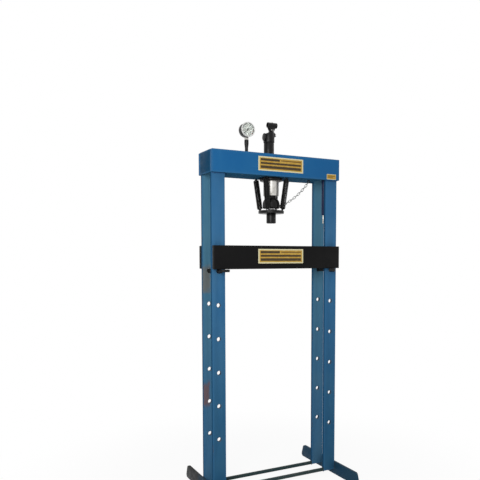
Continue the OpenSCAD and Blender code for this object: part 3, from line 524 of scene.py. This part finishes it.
dialWhite, gaugeGlass = makeDialWhite(gaugeLook), makeGlass(gaugeLook)
dialInk = makeDialInk("dialInk", gaugeLook["ink"], gaugeLook["inkWorn"])
dialRed = makeDialInk("dialRed", gaugeLook["red"], gaugeLook["redWorn"])

weldLook = {"gloss": 0.42, "gleam": 0.3, "depth": 0.0003, "bump": 0.6}


def makeWeldPaint(name, colour, faded):
    p = weldLook
    m, tree, shader, here = newMaterial(name)
    skin = useGroup(tree, darkEnamel, Vector=here, Colour=colour, Dust=faded, Gloss=p["gloss"])
    put(tree, shader["Base Color"], skin["Colour"])
    put(tree, shader["Roughness"], skin["Roughness"])
    shader["Specular IOR Level"].default_value = p["gleam"]
    bumpTo(tree, shader, skin["Height"], p["depth"], p["bump"])
    return m


weldBlue = makeWeldPaint("weldBlue", tint(30, 84, 136), tint(60, 84, 104))
weldBase = makeWeldPaint("weldBase", tint(26, 52, 70), tint(56, 56, 52))
weldBlack = makeWeldPaint("weldBlack", tint(24, 24, 25), tint(52, 48, 44))

labelLook = {  # places and widths are shares of the label's own length and height
    "cream": tint(214, 206, 164), "field": tint(176, 136, 44), "fieldLight": tint(192, 158, 74),
    "ink": tint(34, 24, 8), "inkSoft": tint(96, 70, 18), "scuff": 70, "swell": 160, "gleam": 0.35,
    "fieldU": (0.026, 0.974, 0.004), "fieldV": (0.085, 0.915, 0.012), "barSoftU": 0.004, "barSoftV": 0.014,
}
largeBars = [(0.05, 0.47, 0.70, 0.86, "ink"), (0.50, 0.95, 0.74, 0.82, "inkSoft"),
             (0.05, 0.95, 0.46, 0.60, "ink"), (0.05, 0.95, 0.17, 0.36, "ink")]
smallBars = [(0.12, 0.88, 0.56, 0.70, "inkSoft"), (0.12, 0.7, 0.30, 0.42, "inkSoft")]


def band(tree, x, low, high, soft):
    return times(tree, ease(tree, x, low - soft, low + soft), ease(tree, x, high - soft, high + soft, 1, 0))


def makeLabelPrint(name, bars):  # plain bars stand where a label would have lines of text
    p = labelLook
    m, tree, shader, here = newMaterial(name)
    uv = tree.nodes.new("ShaderNodeUVMap")
    uv.uv_map = "print"
    u, v, _ = axes(tree, uv.outputs[0])
    scuff = cloud(tree, here, p["scuff"], 4, 0.6)
    inner = blendColour(tree, ease(tree, scuff, 0.35, 0.75), p["field"], p["fieldLight"])
    field = times(tree, band(tree, u, *p["fieldU"]), band(tree, v, *p["fieldV"]))
    colour = blendColour(tree, field, p["cream"], inner)
    for (u0, u1, v0, v1, ink) in bars:
        mask = times(tree, band(tree, u, u0, u1, p["barSoftU"]), band(tree, v, v0, v1, p["barSoftV"]))
        mask = times(tree, mask, ease(tree, scuff, 0.62, 0.8, 0.95, 0.55))
        colour = blendColour(tree, mask, colour, p[ink])
    put(tree, shader["Base Color"], colour)
    put(tree, shader["Roughness"], ease(tree, scuff, 0.3, 0.75, 0.36, 0.56))
    shader["Specular IOR Level"].default_value = p["gleam"]
    bumpTo(tree, shader, cloud(tree, here, p["swell"], 2), 0.0001, 0.4)
    return m


labelPrint, labelSmall = makeLabelPrint("labelPrint", largeBars), makeLabelPrint("labelSmall", smallBars)
print("materials made")


# making and keeping pieces

edgeWork = {"merge": 3e-6, "flat": 0.4, "round": (0.5, 28), "corner": 32, "sharp": 46,
            "steps": 2}  # merge is in metres and the angles in degrees


def keepPiece(mesh, name, body, replaced=()):
    piece = bpy.data.objects.new(name, mesh)
    scene.collection.objects.link(piece)
    if body:
        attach(piece, body)
    if replaced:
        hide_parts(*replaced)
    return piece


def meshFrom(bm, name, material=None):
    mesh = bpy.data.meshes.new(name)
    bm.to_mesh(mesh)
    bm.free()
    if material:
        mesh.materials.append(material)
    return mesh


def roundedMesh(node, edge, material):  # a node's mesh with its doubles merged and its edges rounded
    w = edgeWork
    gentle, steep = (math.radians(a) for a in w["round"])
    bm = bmesh.new()
    bm.from_mesh(nodes[node].data)
    bmesh.ops.remove_doubles(bm, verts=bm.verts, dist=w["merge"])
    bmesh.ops.dissolve_limit(bm, angle_limit=math.radians(w["flat"]), verts=bm.verts, edges=bm.edges)
    shared = [e for e in bm.edges if len(e.link_faces) == 2]
    turn = {e: e.calc_face_angle(0) for e in shared}
    for f in bm.faces:
        f.smooth = any(gentle < turn.get(e, 0) < steep for e in f.edges)
        f.material_index = 0
    corners = [e for e in shared if turn[e] > math.radians(w["corner"])]
    if edge and corners:
        made = bmesh.ops.bevel(bm, geom=corners, offset=edge, offset_type="OFFSET", segments=w["steps"],
                               profile=0.5, affect="EDGES", clamp_overlap=True)
        for f in made["faces"]:
            f.smooth = True
    mesh = meshFrom(bm, partWords(node), material)
    mesh.set_sharp_from_angle(angle=math.radians(w["sharp"]))
    return mesh


def addBoxMarks(mesh, node):  # centre and half size for the edge wear
    low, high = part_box(node)
    for name, v in (("boxCentre", (low + high) / 2), ("boxHalf", (high - low) / 2)):
        layer = mesh.attributes.new(name, "FLOAT_VECTOR", "POINT")
        layer.data.foreach_set("vector", list(v) * len(mesh.vertices))


def partWords(node):  # tie_front becomes tieFront
    first, *rest = node.split("_")
    return first + "".join(w.capitalize() for w in rest)


plates = {  # node: material, slot, edge radius in mm
    "column_front_left": (columnPaint, "frame_paint", 1.2),
    "column_front_right": (columnPaint, "frame_paint", 1.2),
    "column_rear_left": (rearPaint, "frame_paint", 1.2), "column_rear_right": (rearPaint, "frame_paint", 1.2),
    "head_front_plate": (headPaint, "frame_paint", 1.2), "head_rear_plate": (headPaint, "frame_paint", 1.2),
    "head_floor_plate": (headPaint, "frame_paint", 0.8), "head_lid_plate": (headPaint, "frame_paint", 0.8),
    "head_cap_left": (capPaint, "frame_paint", 0.6), "head_cap_right": (capPaint, "frame_paint", 0.6),
    "foot_left": (basePaint, "base_paint", 1.2), "foot_right": (basePaint, "base_paint", 1.2),
    "tie_front": (tiePaint, "base_paint", 0.9), "tie_rear": (tiePaint, "base_paint", 0.9),
    "bed_front_plate": (bedPaint, "bed_paint", 1.3), "bed_rear_plate": (bedPaint, "bed_paint", 1.3),
    "bed_spacer_left": (bedPaint, "bed_paint", 1.0), "bed_spacer_right": (bedPaint, "bed_paint", 1.0),
}
for node, (material, slot, edge) in plates.items():
    mesh = roundedMesh(node, edge * mm, material)
    addBoxMarks(mesh, node)
    keepPiece(mesh, partWords(node), bodyOf[node], [node])
print("plates and bars made")

fittings = {  # node: material, slot, edge radius in mm
    "jack_barrel": (barrelSteel, "bright_steel", 0.6), "jack_flange": (jackBlack, "jack_black", 0.6),
    "jack_gland": (jackBlack, "jack_black", 0.8), "rod_wiper": (sealRubber, "seal_rubber", 0.3),
    "reservoir": (jackBlack, "jack_black", 0.6), "pump_block": (jackBlack, "jack_black", 0.5),
    "plunger_gland": (brightSteel, "bright_steel", 0.4), "filler_plug": (brightSteel, "bright_steel", 0.4),
    "pivot_pin": (brightSteel, "bright_steel", 0.4), "gauge_adapter": (jackBlack, "jack_black", 0.4),
    "gauge_stem": (brightSteel, "bright_steel", 0.4), "gauge_case": (gaugeBlack, "gauge_black", 0.5),
    "gauge_bezel": (gaugeRing, "gauge_ring", 0.6), "gauge_dial": (dialWhite, "dial_white", 0),
    "gauge_lens": (gaugeGlass, "gauge_glass", 0.3), "pressure_pipe": (brightSteel, "bright_steel", 0),
    "spring_eyes_head": (springBlack, "spring_black", 0),
    "spring_eyes_plate": (springBlack, "spring_black", 0),
    "chain_eye_head": (springBlack, "jack_black", 0), "chain_eye_gland": (springBlack, "jack_black", 0),
    "lever_clips": (jackBlack, "jack_black", 0.3), "lever_grip": (leverBlack, "lever_black", 1.0),
    "lever_tip": (brightSteel, "bright_steel", 0.8), "piston_rod": (rodChrome, "rod_chrome", 0.5),
    "piston": (brightSteel, "bright_steel", 0.4), "piston_seal": (sealRubber, "seal_rubber", 0.3),
    "spring_plate": (jackBlack, "jack_black", 0.4), "ram_nose": (jackBlack, "jack_black", 0.6),
    "bed_pin_left": (pinBlack, "bed_paint", 0.8), "bed_pin_right": (pinBlack, "bed_paint", 0.8),
    "lever_socket": (jackBlack, "jack_black", 0.4), "socket_screw": (brightSteel, "bright_steel", 0.4),
    "pump_plunger": (rodChrome, "rod_chrome", 0.4), "release_valve": (jackBlack, "jack_black", 0.6),
    "gauge_pointer": (pointerBlack, "pointer_black", 0),
}
for node, (material, slot, edge) in fittings.items():
    keepPiece(roundedMesh(node, edge * mm, material), partWords(node), bodyOf[node], [node])
print("turned and cast pieces made")


# geometry trees

def newTree(name, inputs):
    g = bpy.data.node_groups.new(name, "GeometryNodeTree")
    g.interface.new_socket("Geometry", in_out="INPUT", socket_type="NodeSocketGeometry")
    for label, kind, value in inputs:
        s = g.interface.new_socket(label, in_out="INPUT", socket_type="NodeSocket" + kind)
        if value is not None:
            s.default_value = value
    g.interface.new_socket("Geometry", in_out="OUTPUT", socket_type="NodeSocketGeometry")
    return g, g.nodes.new("NodeGroupInput").outputs, g.nodes.new("NodeGroupOutput").inputs


def step(g, kind, links, **settings):
    n = g.nodes.new(kind)
    for k, v in settings.items():
        setattr(n, k, v)
    for name, v in links.items():
        put(g, n.inputs[name], v)
    return n.outputs


def closeTree(g, o, geometry, material):
    real = step(g, "GeometryNodeRealizeInstances", {"Geometry": geometry})[0]
    put(g, o["Geometry"], step(g, "GeometryNodeSetMaterial", {"Geometry": real, "Material": material})[0])


def smoothed(g, geometry):
    return step(g, "GeometryNodeSetShadeSmooth", {"Geometry": geometry})[0]


def makeRoundWire():  # a round wire along the edges of a path
    g, i, o = newTree("roundWire", [("Radius", "Float", 0.002), ("Sides", "Int", 10),
                                    ("Material", "Material", None)])
    path = step(g, "GeometryNodeMeshToCurve", {"Mesh": i["Geometry"]})[0]
    ring = step(g, "GeometryNodeCurvePrimitiveCircle", {"Resolution": i["Sides"], "Radius": i["Radius"]})[0]
    wire = step(g, "GeometryNodeCurveToMesh", {"Curve": path, "Profile Curve": ring, "Fill Caps": True})[0]
    closeTree(g, o, smoothed(g, wire), i["Material"])
    return g


def makePlacedCopies():  # a source shape set on each point, turned and sized by the point's own values
    g, i, o = newTree("placedCopies", [("Shape", "Object", None), ("Material", "Material", None)])
    turned = step(g, "GeometryNodeInputNamedAttribute", {"Name": "turn"}, data_type="FLOAT_VECTOR")[0]
    sized = step(g, "GeometryNodeInputNamedAttribute", {"Name": "size"}, data_type="FLOAT_VECTOR")[0]
    shape = step(g, "GeometryNodeObjectInfo", {"Object": i["Shape"]})["Geometry"]
    spin = step(g, "FunctionNodeEulerToRotation", {"Euler": turned})[0]
    copies = step(g, "GeometryNodeInstanceOnPoints", {"Points": i["Geometry"], "Instance": shape,
                                                      "Rotation": spin, "Scale": sized})[0]
    closeTree(g, o, copies, i["Material"])
    return g


def makeWeldBead():  # overlapping scales along a seam
    g, i, o = newTree("weldBead", [("Step", "Float", 0.0022), ("Radius", "Float", 0.003), ("Seed", "Int", 7),
                                   ("Material", "Material", None)])
    path = step(g, "GeometryNodeMeshToCurve", {"Mesh": i["Geometry"]})[0]
    dots = step(g, "GeometryNodeCurveToPoints", {"Curve": path, "Length": i["Step"]}, mode="LENGTH")
    blob = step(g, "GeometryNodeMeshIcoSphere", {"Radius": i["Radius"], "Subdivisions": 2})[0]
    size = step(g, "FunctionNodeRandomValue", {"Min": (0.85, 0.85, 0.55), "Max": (1.15, 1.15, 0.75),
                                               "Seed": i["Seed"]}, data_type="FLOAT_VECTOR")[0]
    beads = step(g, "GeometryNodeInstanceOnPoints", {"Points": dots["Points"], "Instance": blob,
                                                     "Rotation": dots["Rotation"], "Scale": size})[0]
    closeTree(g, o, smoothed(g, beads), i["Material"])
    return g


roundWire, placedCopies, weldBead = makeRoundWire(), makePlacedCopies(), makeWeldBead()


def pathObject(lines, closed=False):
    mesh = bpy.data.meshes.new("path")
    points, edges = [], []
    for line in lines:
        first = len(points)
        points += [tuple(p) for p in line]
        edges += [(first + k, first + k + 1) for k in range(len(line) - 1)]
        if closed:
            edges.append((first + len(line) - 1, first))
    mesh.from_pydata(points, edges, [])
    holder = bpy.data.objects.new("path", mesh)
    scene.collection.objects.link(holder)
    return holder


def solidOf(holder):
    graph = bpy.context.evaluated_depsgraph_get()
    shown = holder.evaluated_get(graph)
    return bpy.data.meshes.new_from_object(shown, preserve_all_data_layers=True, depsgraph=graph)


def runTree(holder, tree, name, values):
    mod = holder.modifiers.new("shape", "NODES")
    mod.node_group = tree
    for item in tree.interface.items_tree:
        if item.in_out == "INPUT" and item.name in values:
            mod[item.identifier] = values[item.name]
    mesh = solidOf(holder)
    mesh.name = name
    spare = holder.data
    holder.modifiers.remove(mod)
    bpy.data.objects.remove(holder)
    bpy.data.meshes.remove(spare)
    return mesh


def copiesAt(shape, places, name, material):  # places hold a point, Euler angles and sizes
    holder = pathObject([[place[0]] for place in places])
    for label, k in (("turn", 1), ("size", 2)):
        layer = holder.data.attributes.new(label, "FLOAT_VECTOR", "POINT")
        layer.data.foreach_set("vector", [c for place in places for c in place[k]])
    source = bpy.data.objects.new("source", shape)
    scene.collection.objects.link(source)
    mesh = runTree(holder, placedCopies, name, {"Shape": source, "Material": material})
    bpy.data.objects.remove(source)
    return mesh


# return springs, with the part source's own sizes in mm and degrees

springs = {"low": 38.891, "lowZ": 1318.2, "topX": 55, "topY": 51, "topZ": 1461.8, "outer": 27, "wire": 4.4,
           "turns": 29, "perTurn": 20, "loop": 5.5, "loopTurn": (-150, 100, 10), "coilFrom": 4.5, "sides": 10,
           "lead": (0.2, 0.4, 0.6, 0.8), "easings": 6, "easeReach": 5, "heldPoint": 15, "heldShare": 0.09}


def springPath(x, y, s):
    low = Vector((x * s["low"], y * s["low"], s["lowZ"]))
    top = Vector((x * s["topX"], y * s["topY"], s["topZ"]))
    length = (top - low).length
    along = (top - low) / length
    across = along.cross(Vector((x, y, 0))).normalized()
    out = across.cross(along)
    r, hook, start = (s["outer"] - s["wire"]) / 2, s["loop"], s["coilFrom"]
    count = s["turns"] * s["perTurn"]
    bow = [math.radians(a) for a in range(*s["loopTurn"])]
    loop = [(hook * math.sin(a), 0, hook - hook * math.cos(a)) for a in bow]
    rise = [(hook + (r - hook) * t, 0, hook + (start - hook) * t) for t in s["lead"]]
    coil = []
    for k in range(count + 1):
        a = 2 * math.pi * k / s["perTurn"]
        coil.append((r * math.cos(a), r * math.sin(a), start + (length - 2 * start) * k / count))
    upper = [(a, b, length - c) for a, b, c in reversed(loop + rise)]
    flat = [Vector(p) for p in loop + rise + coil + upper]
    bends = [len(loop + rise), len(loop + rise + coil)]
    for _ in range(s["easings"]):  # ease the wire from the loops into the coil
        for b in bends:
            for k in range(b - s["easeReach"], b + s["easeReach"] + 1):
                flat[k] = (flat[k - 1] + 2 * flat[k] + flat[k + 1]) / 4
    return [(low + p[0] * out + p[1] * across + p[2] * along) * mm for p in flat]


for sideName, x in (("left", -1), ("right", 1)):
    for faceName, y in (("front", -1), ("rear", 1)):
        node = f"spring_{faceName}_{sideName}"
        path = springPath(x, y, springs)
        mesh = runTree(pathObject([path]), roundWire, partWords(node),
                       {"Radius": springs["wire"] / 2 * mm, "Sides": springs["sides"],
                        "Material": springBlack})
        piece = keepPiece(mesh, partWords(node), None, [node])
        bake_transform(piece)
print("springs wound")


# keeper chain, with the part source's own sizes in mm and degrees

chainLook = {"from": (190, -30, 1458), "lowOut": 48, "lowTurn": -9, "lowZ": 1336.5, "hook": 3.85,
             "slack": 1.008, "pitch": 14.1, "half": 4.4, "wire": 3.0, "gap": 0.15, "steps": 9, "sides": 8}


def chainPlaces(c):
    start = Vector(c["from"])
    turn = math.radians(c["lowTurn"])
    end = Vector((c["lowOut"] * math.cos(turn), c["lowOut"] * math.sin(turn), c["lowZ"]))
    span = (end - start).length
    count = 2 * math.ceil(((span - 2 * c["hook"]) * c["slack"] / c["pitch"] - 1) / 2) + 1  # always odd
    run = count * c["pitch"] + 2 * c["hook"]
    slack = 1 - span / run
    bend = math.sqrt(6 * slack * (1 + 0.3 * slack))  # half the angle of an arc as long as the run
    radius = run / (2 * bend)
    along = (end - start) / span
    side = along.cross(Vector((0, 0, 1))).normalized()
    down = along.cross(side)

    def at(s):
        a = (s / run - 0.5) * 2 * bend
        sag = down * radius * (math.cos(a) - math.cos(bend))
        return (start + end) / 2 + along * radius * math.sin(a) + sag
    places = []
    for k in range(count):
        p, q = at(c["hook"] + k * c["pitch"]), at(c["hook"] + (k + 1) * c["pitch"])
        way = (q - p).normalized()
        wide = side if k % 2 == 0 else way.cross(side).normalized()
        turned = Matrix((way, wide, way.cross(wide))).transposed().to_euler()
        places.append((tuple((p + q) / 2 * mm), tuple(turned), (1, 1, 1)))
    return places


def linkPath(c):
    half = c["half"] * mm
    straight = (c["pitch"] / 2 + c["wire"] / 2 + c["gap"]) * mm - half
    line = []
    for end in (1, -1):
        for k in range(c["steps"] + 1):
            a = math.pi / 2 - math.pi * k / c["steps"]
            line.append((end * (straight + half * math.cos(a)), end * half * math.sin(a), 0))
    return line


oneLink = runTree(pathObject([linkPath(chainLook)], closed=True), roundWire, "oneLink",
                  {"Radius": chainLook["wire"] / 2 * mm, "Sides": chainLook["sides"], "Material": chainZinc})
chainMesh = copiesAt(oneLink, chainPlaces(chainLook), "chain", chainZinc)
keepPiece(chainMesh, "chainLinks", "frame", ["chain"])
print("chain hung")


# weld seams in the corners where the CAD plates meet, in mm

welds = {"radius": 2.6, "step": 1.9, "seat": 0.6, "footSeat": 0.4, "longEnd": 2, "shortEnd": 1}


def seamLines(w):  # the seams of the front right corner, with Y counted away from the middle
    (inX, outY, _), (outX, inY, _) = boxInMm("column_front_right")
    (spacerIn, _, spacerLow), (spacerOut, _, spacerHigh) = boxInMm("bed_spacer_right")
    tieLow, tieHigh = (corner.z for corner in boxInMm("tie_front"))
    seat, end, tip = w["seat"], w["longEnd"], w["shortEnd"]
    front, back = -outY, -inY
    footTop = boxInMm("foot_right")[1].z
    under = boxInMm("head_front_plate")[0].z - seat
    bedY = -boxInMm("bed_front_plate")[1].y - seat
    head = [[(inX + end, front + seat, under), (outX - end, front + seat, under)]]
    base = [[(outX - seat, y, tieLow + end), (outX - seat, y, footTop - tip)]
            for y in (front + seat, back - seat)]
    for x, z in ((outX + seat, footTop + w["footSeat"]), (inX - seat, tieHigh + seat),
                 (inX - seat, tieLow - seat)):
        base.append([(x, back + tip, z), (x, front - tip, z)])
    bed = [[(x, bedY, spacerLow + end), (x, bedY, spacerHigh - end)]
           for x in (spacerIn - seat, spacerOut + seat)]
    bed.append([(spacerIn + tip, bedY, spacerHigh + seat), (spacerOut - tip, bedY, spacerHigh + seat)])
    return head, base, bed


def fourCorners(lines):
    return [[Vector((x * p[0], y * p[1], p[2])) * mm for p in line]
            for x in (-1, 1) for y in (-1, 1) for line in lines]


headSeams, baseSeams, bedSeams = seamLines(welds)
for seams, name, body, slot, material, seed in ((headSeams, "headWelds", "frame", "frame_paint", weldBlue, 3),
                                                (baseSeams, "baseWelds", "frame", "base_paint", weldBase, 5),
                                                (bedSeams, "bedWelds", "bed", "bed_paint", weldBlack, 9)):
    values = {"Radius": welds["radius"] * mm, "Step": welds["step"] * mm, "Seed": seed, "Material": material}
    keepPiece(runTree(pathObject(fourCorners(seams)), weldBead, name, values), name, body)
print("weld seams laid")


# gauge dial marks, in mm and degrees

dialLow, dialHigh = boxInMm("gauge_dial")
dial = {"x": (dialLow.x + dialHigh.x) / 2, "z": (dialLow.z + dialHigh.z) / 2, "y": -12.12,
        "from": 225, "sweep": 270, "steps": 50, "bigEvery": 10, "ring": 26.2, "long": 3.4, "short": 1.7,
        "thin": 0.22, "wide": 0.5, "tickDepth": 0.2, "words": ["0", "5", "10", "15", "20", "25"],
        "wordRing": 18.8, "wordSize": 4.2, "wordDepth": 0.05, "merge": 1e-7, "redFrom": 0.8, "redIn": 0.4,
        "redOut": 1.6, "redBack": 0.09, "redFront": -0.03, "redSteps": 24}


def onDial(d, r, share, lift=0):  # the point, and its angle, at a share of the scale
    a = math.radians(d["from"] - d["sweep"] * share)
    return ((d["x"] + r * math.cos(a)) * mm, (d["y"] + lift) * mm, (d["z"] + r * math.sin(a)) * mm), a


def plainBox(name, edge=0.08):
    bm = bmesh.new()
    bmesh.ops.create_cube(bm, size=1)
    bmesh.ops.bevel(bm, geom=list(bm.edges), offset=edge, segments=1, affect="EDGES")
    return meshFrom(bm, name)


def dialTicks(d):
    places = []
    for k in range(d["steps"] + 1):
        big = k % d["bigEvery"] == 0
        length, width = (d["long"], d["wide"]) if big else (d["short"], d["thin"])
        point, a = onDial(d, d["ring"] - length / 2, k / d["steps"])
        places.append((point, (0, -a, 0), (length * mm, d["tickDepth"] * mm, width * mm)))
    return places


def dialWords(d):
    whole = bmesh.new()
    upright = Matrix.Rotation(math.radians(90), 4, "X")
    for k, word in enumerate(d["words"]):
        text = bpy.data.curves.new("word", "FONT")
        text.body, text.size = word, d["wordSize"] * mm
        text.align_x, text.align_y = "CENTER", "CENTER"
        text.extrude = d["wordDepth"] * mm
        holder = bpy.data.objects.new("word", text)
        scene.collection.objects.link(holder)
        mesh = solidOf(holder)
        point, _ = onDial(d, d["wordRing"], k / (len(d["words"]) - 1))
        mesh.transform(Matrix.Translation(point) @ upright)
        whole.from_mesh(mesh)
        bpy.data.objects.remove(holder)
        bpy.data.meshes.remove(mesh)
    bmesh.ops.remove_doubles(whole, verts=whole.verts, dist=d["merge"])
    return meshFrom(whole, "dialNumbers", dialInk)


def redArc(d):  # the last stretch of the scale
    bm = bmesh.new()
    count = d["redSteps"]
    near, far, back, front = d["ring"] + d["redIn"], d["ring"] + d["redOut"], d["redBack"], d["redFront"]
    rows = []
    for k in range(count + 1):
        share = d["redFrom"] + (1 - d["redFrom"]) * k / count
        corners = ((near, back), (far, back), (far, front), (near, front))
        rows.append([bm.verts.new(onDial(d, r, share, lift)[0]) for r, lift in corners])
    for a, b in zip(rows, rows[1:]):
        for j in range(4):
            h = (j + 1) % 4
            bm.faces.new((a[j], a[h], b[h], b[j]))
    bm.faces.new(rows[0])
    bm.faces.new(rows[-1])
    bmesh.ops.recalc_face_normals(bm, faces=bm.faces)
    return meshFrom(bm, "dialRedArc", dialRed)


tickMesh = copiesAt(plainBox("tick"), dialTicks(dial), "dialTicks", dialInk)
keepPiece(tickMesh, "dialTicks", "frame")
keepPiece(dialWords(dial), "dialNumbers", "frame")
keepPiece(redArc(dial), "dialRedArc", "frame")
print("dial marked")


# knurled rim of the release valve, in mm

knurl = {"width": 4.5, "end": 0.9, "sunk": 0.1, "count": 56, "rib": 1.1, "stand": 0.7}


def knurlPlaces(k):
    low, high = boxInMm("release_valve")
    middleX, middleZ = low.x + k["width"] / 2, (low.z + high.z) / 2
    radius = (high.z - low.z) / 2 - k["sunk"]
    size = ((k["width"] - 2 * k["end"]) * mm, k["rib"] * mm, k["stand"] * mm)
    places = []
    for n in range(k["count"]):
        a = 2 * math.pi * n / k["count"]
        point = (middleX * mm, radius * math.sin(a) * mm, (middleZ + radius * math.cos(a)) * mm)
        places.append((point, (-a, 0, 0), size))
    return places


knurlMesh = copiesAt(plainBox("rib"), knurlPlaces(knurl), "valveKnurl", jackBlack)
keepPiece(knurlMesh, "valveKnurl", "valve")
print("valve knurled")


# label plates, in mm

labels = {
    "headLabel": {"on": "head_front_plate", "x": (-108, 128.5), "z": (1487, 1551), "print": labelPrint},
    "bedLabel": {"on": "bed_front_plate", "x": (-113.5, 124.6), "z": (1066, 1132), "print": labelPrint},
    "headSmallLabel": {"on": "head_front_plate", "x": (262, 315), "z": (1469, 1494), "print": labelSmall},
}
labelPlate = {"corner": 2.0, "cornerSteps": 4, "thick": 0.45, "sunk": 0.05, "edge": 0.18}


def labelMesh(name, p, plate):
    (x0, x1), (z0, z1) = p["x"], p["z"]
    y = boxInMm(p["on"])[0].y
    corner, steps, thick = plate["corner"], plate["cornerSteps"], plate["thick"]
    left, right, low, high = x0 + corner, x1 - corner, z0 + corner, z1 - corner
    bm = bmesh.new()
    ring = []
    for cx, cz, first in ((right, high, 0), (left, high, 90), (left, low, 180), (right, low, 270)):
        for k in range(steps + 1):
            a = math.radians(first + 90 / steps * k)
            ring.append((cx + corner * math.cos(a), cz + corner * math.sin(a)))
    back = [bm.verts.new((x * mm, (y + plate["sunk"]) * mm, z * mm)) for x, z in ring]
    front = [bm.verts.new((x * mm, (y - thick) * mm, z * mm)) for x, z in ring]
    bm.faces.new(front)
    bm.faces.new(list(reversed(back)))
    for k in range(len(ring)):
        j = (k + 1) % len(ring)
        bm.faces.new((front[k], back[k], back[j], front[j]))
    bmesh.ops.recalc_face_normals(bm, faces=bm.faces)
    layer = bm.loops.layers.uv.new("print")
    for f in bm.faces:
        for loop in f.loops:
            v = loop.vert.co / mm
            loop[layer].uv = ((v.x - x0) / (x1 - x0), (v.z - z0) / (z1 - z0))
    edges = [e for e in bm.edges if all(v.co.y < (y - thick / 2) * mm for v in e.verts)]
    bmesh.ops.bevel(bm, geom=edges, offset=plate["edge"] * mm, segments=1, affect="EDGES", clamp_overlap=True)
    return meshFrom(bm, name, p["print"])


for name, p in labels.items():
    keepPiece(labelMesh(name, p, labelPlate), name, bodyOf[p["on"]])
print("labels set")


# floor and light

room = {
    "floorSize": 14, "floorDrop": 0.0005, "clearFrom": 0.5, "clearTo": 1.5, "floorVeil": 0.92,
    "floorColour": tint(240, 240, 238), "floorGrain": tint(226, 226, 224),
    "worldFill": 0.4, "fillColour": tint(250, 251, 255), "white": (1, 1, 1, 1), "aim": (0, 0, 0.95),
    "lamps": [("keyLamp", (-2.15, -2.3, 1.7), 1.7, 58),  # name, place, size and power
              ("topLamp", (0.6, -0.6, 4.2), 2.6, 22),
              ("rightLamp", (3.4, -1.6, 1.8), 2.2, 12)],
}


def seesPlain(tree):  # camera, glossy and transmission rays
    rays = tree.nodes.new("ShaderNodeLightPath").outputs
    bounced = calc(tree, "MAXIMUM", rays["Is Glossy Ray"], rays["Is Transmission Ray"])
    return calc(tree, "MAXIMUM", rays["Is Camera Ray"], bounced)


def mixInto(tree, share, first, second, output):
    mix = tree.nodes.new("ShaderNodeMixShader")
    put(tree, mix.inputs[0], share)
    tree.links.new(first.outputs[0], mix.inputs[1])
    tree.links.new(second.outputs[0], mix.inputs[2])
    tree.links.new(mix.outputs[0], tree.nodes.new(output).inputs["Surface"])


def makeFloor(r):
    m = bpy.data.materials.new("paleFloor")
    m.use_nodes = True
    tree = m.node_tree
    tree.nodes.clear()
    here = tree.nodes.new("ShaderNodeTexCoord").outputs["Object"]
    plain = tree.nodes.new("ShaderNodeBsdfDiffuse")
    grain = mottle(tree, here, 30, 3, (0.3, 0.7), 0.05, r["floorColour"], r["floorGrain"])
    put(tree, plain.inputs["Color"], grain)
    white = tree.nodes.new("ShaderNodeEmission")
    far = ease(tree, vecCalc(tree, "LENGTH", here), r["clearFrom"], r["clearTo"], r["floorVeil"], 1.0)
    mixInto(tree, times(tree, far, seesPlain(tree)), plain, white, "ShaderNodeOutputMaterial")
    h, z = r["floorSize"], -r["floorDrop"]
    mesh = bpy.data.meshes.new("paleFloor")
    mesh.from_pydata([(-h, -h, z), (h, -h, z), (h, h, z), (-h, h, z)], [], [(0, 1, 2, 3)])
    mesh.materials.append(m)
    floor = bpy.data.objects.new("paleFloor", mesh)
    scene.collection.objects.link(floor)


def lightRoom(r):
    world = bpy.data.worlds.new("softRoom")
    scene.world = world
    world.use_nodes = True
    tree = world.node_tree
    tree.nodes.clear()
    fill, plain = tree.nodes.new("ShaderNodeBackground"), tree.nodes.new("ShaderNodeBackground")
    fill.inputs["Color"].default_value = r["fillColour"]
    fill.inputs["Strength"].default_value = r["worldFill"]
    plain.inputs["Color"].default_value = r["white"]
    mixInto(tree, seesPlain(tree), fill, plain, "ShaderNodeOutputWorld")
    for name, place, size, power in r["lamps"]:
        data = bpy.data.lights.new(name, "AREA")
        data.shape, data.size, data.energy = "DISK", size, power
        lamp = bpy.data.objects.new(name, data)
        scene.collection.objects.link(lamp)
        lamp.location = place
        lamp.rotation_euler = (Vector(r["aim"]) - Vector(place)).to_track_quat("-Z", "Y").to_euler()


makeFloor(room)
lightRoom(room)
print("room lit")
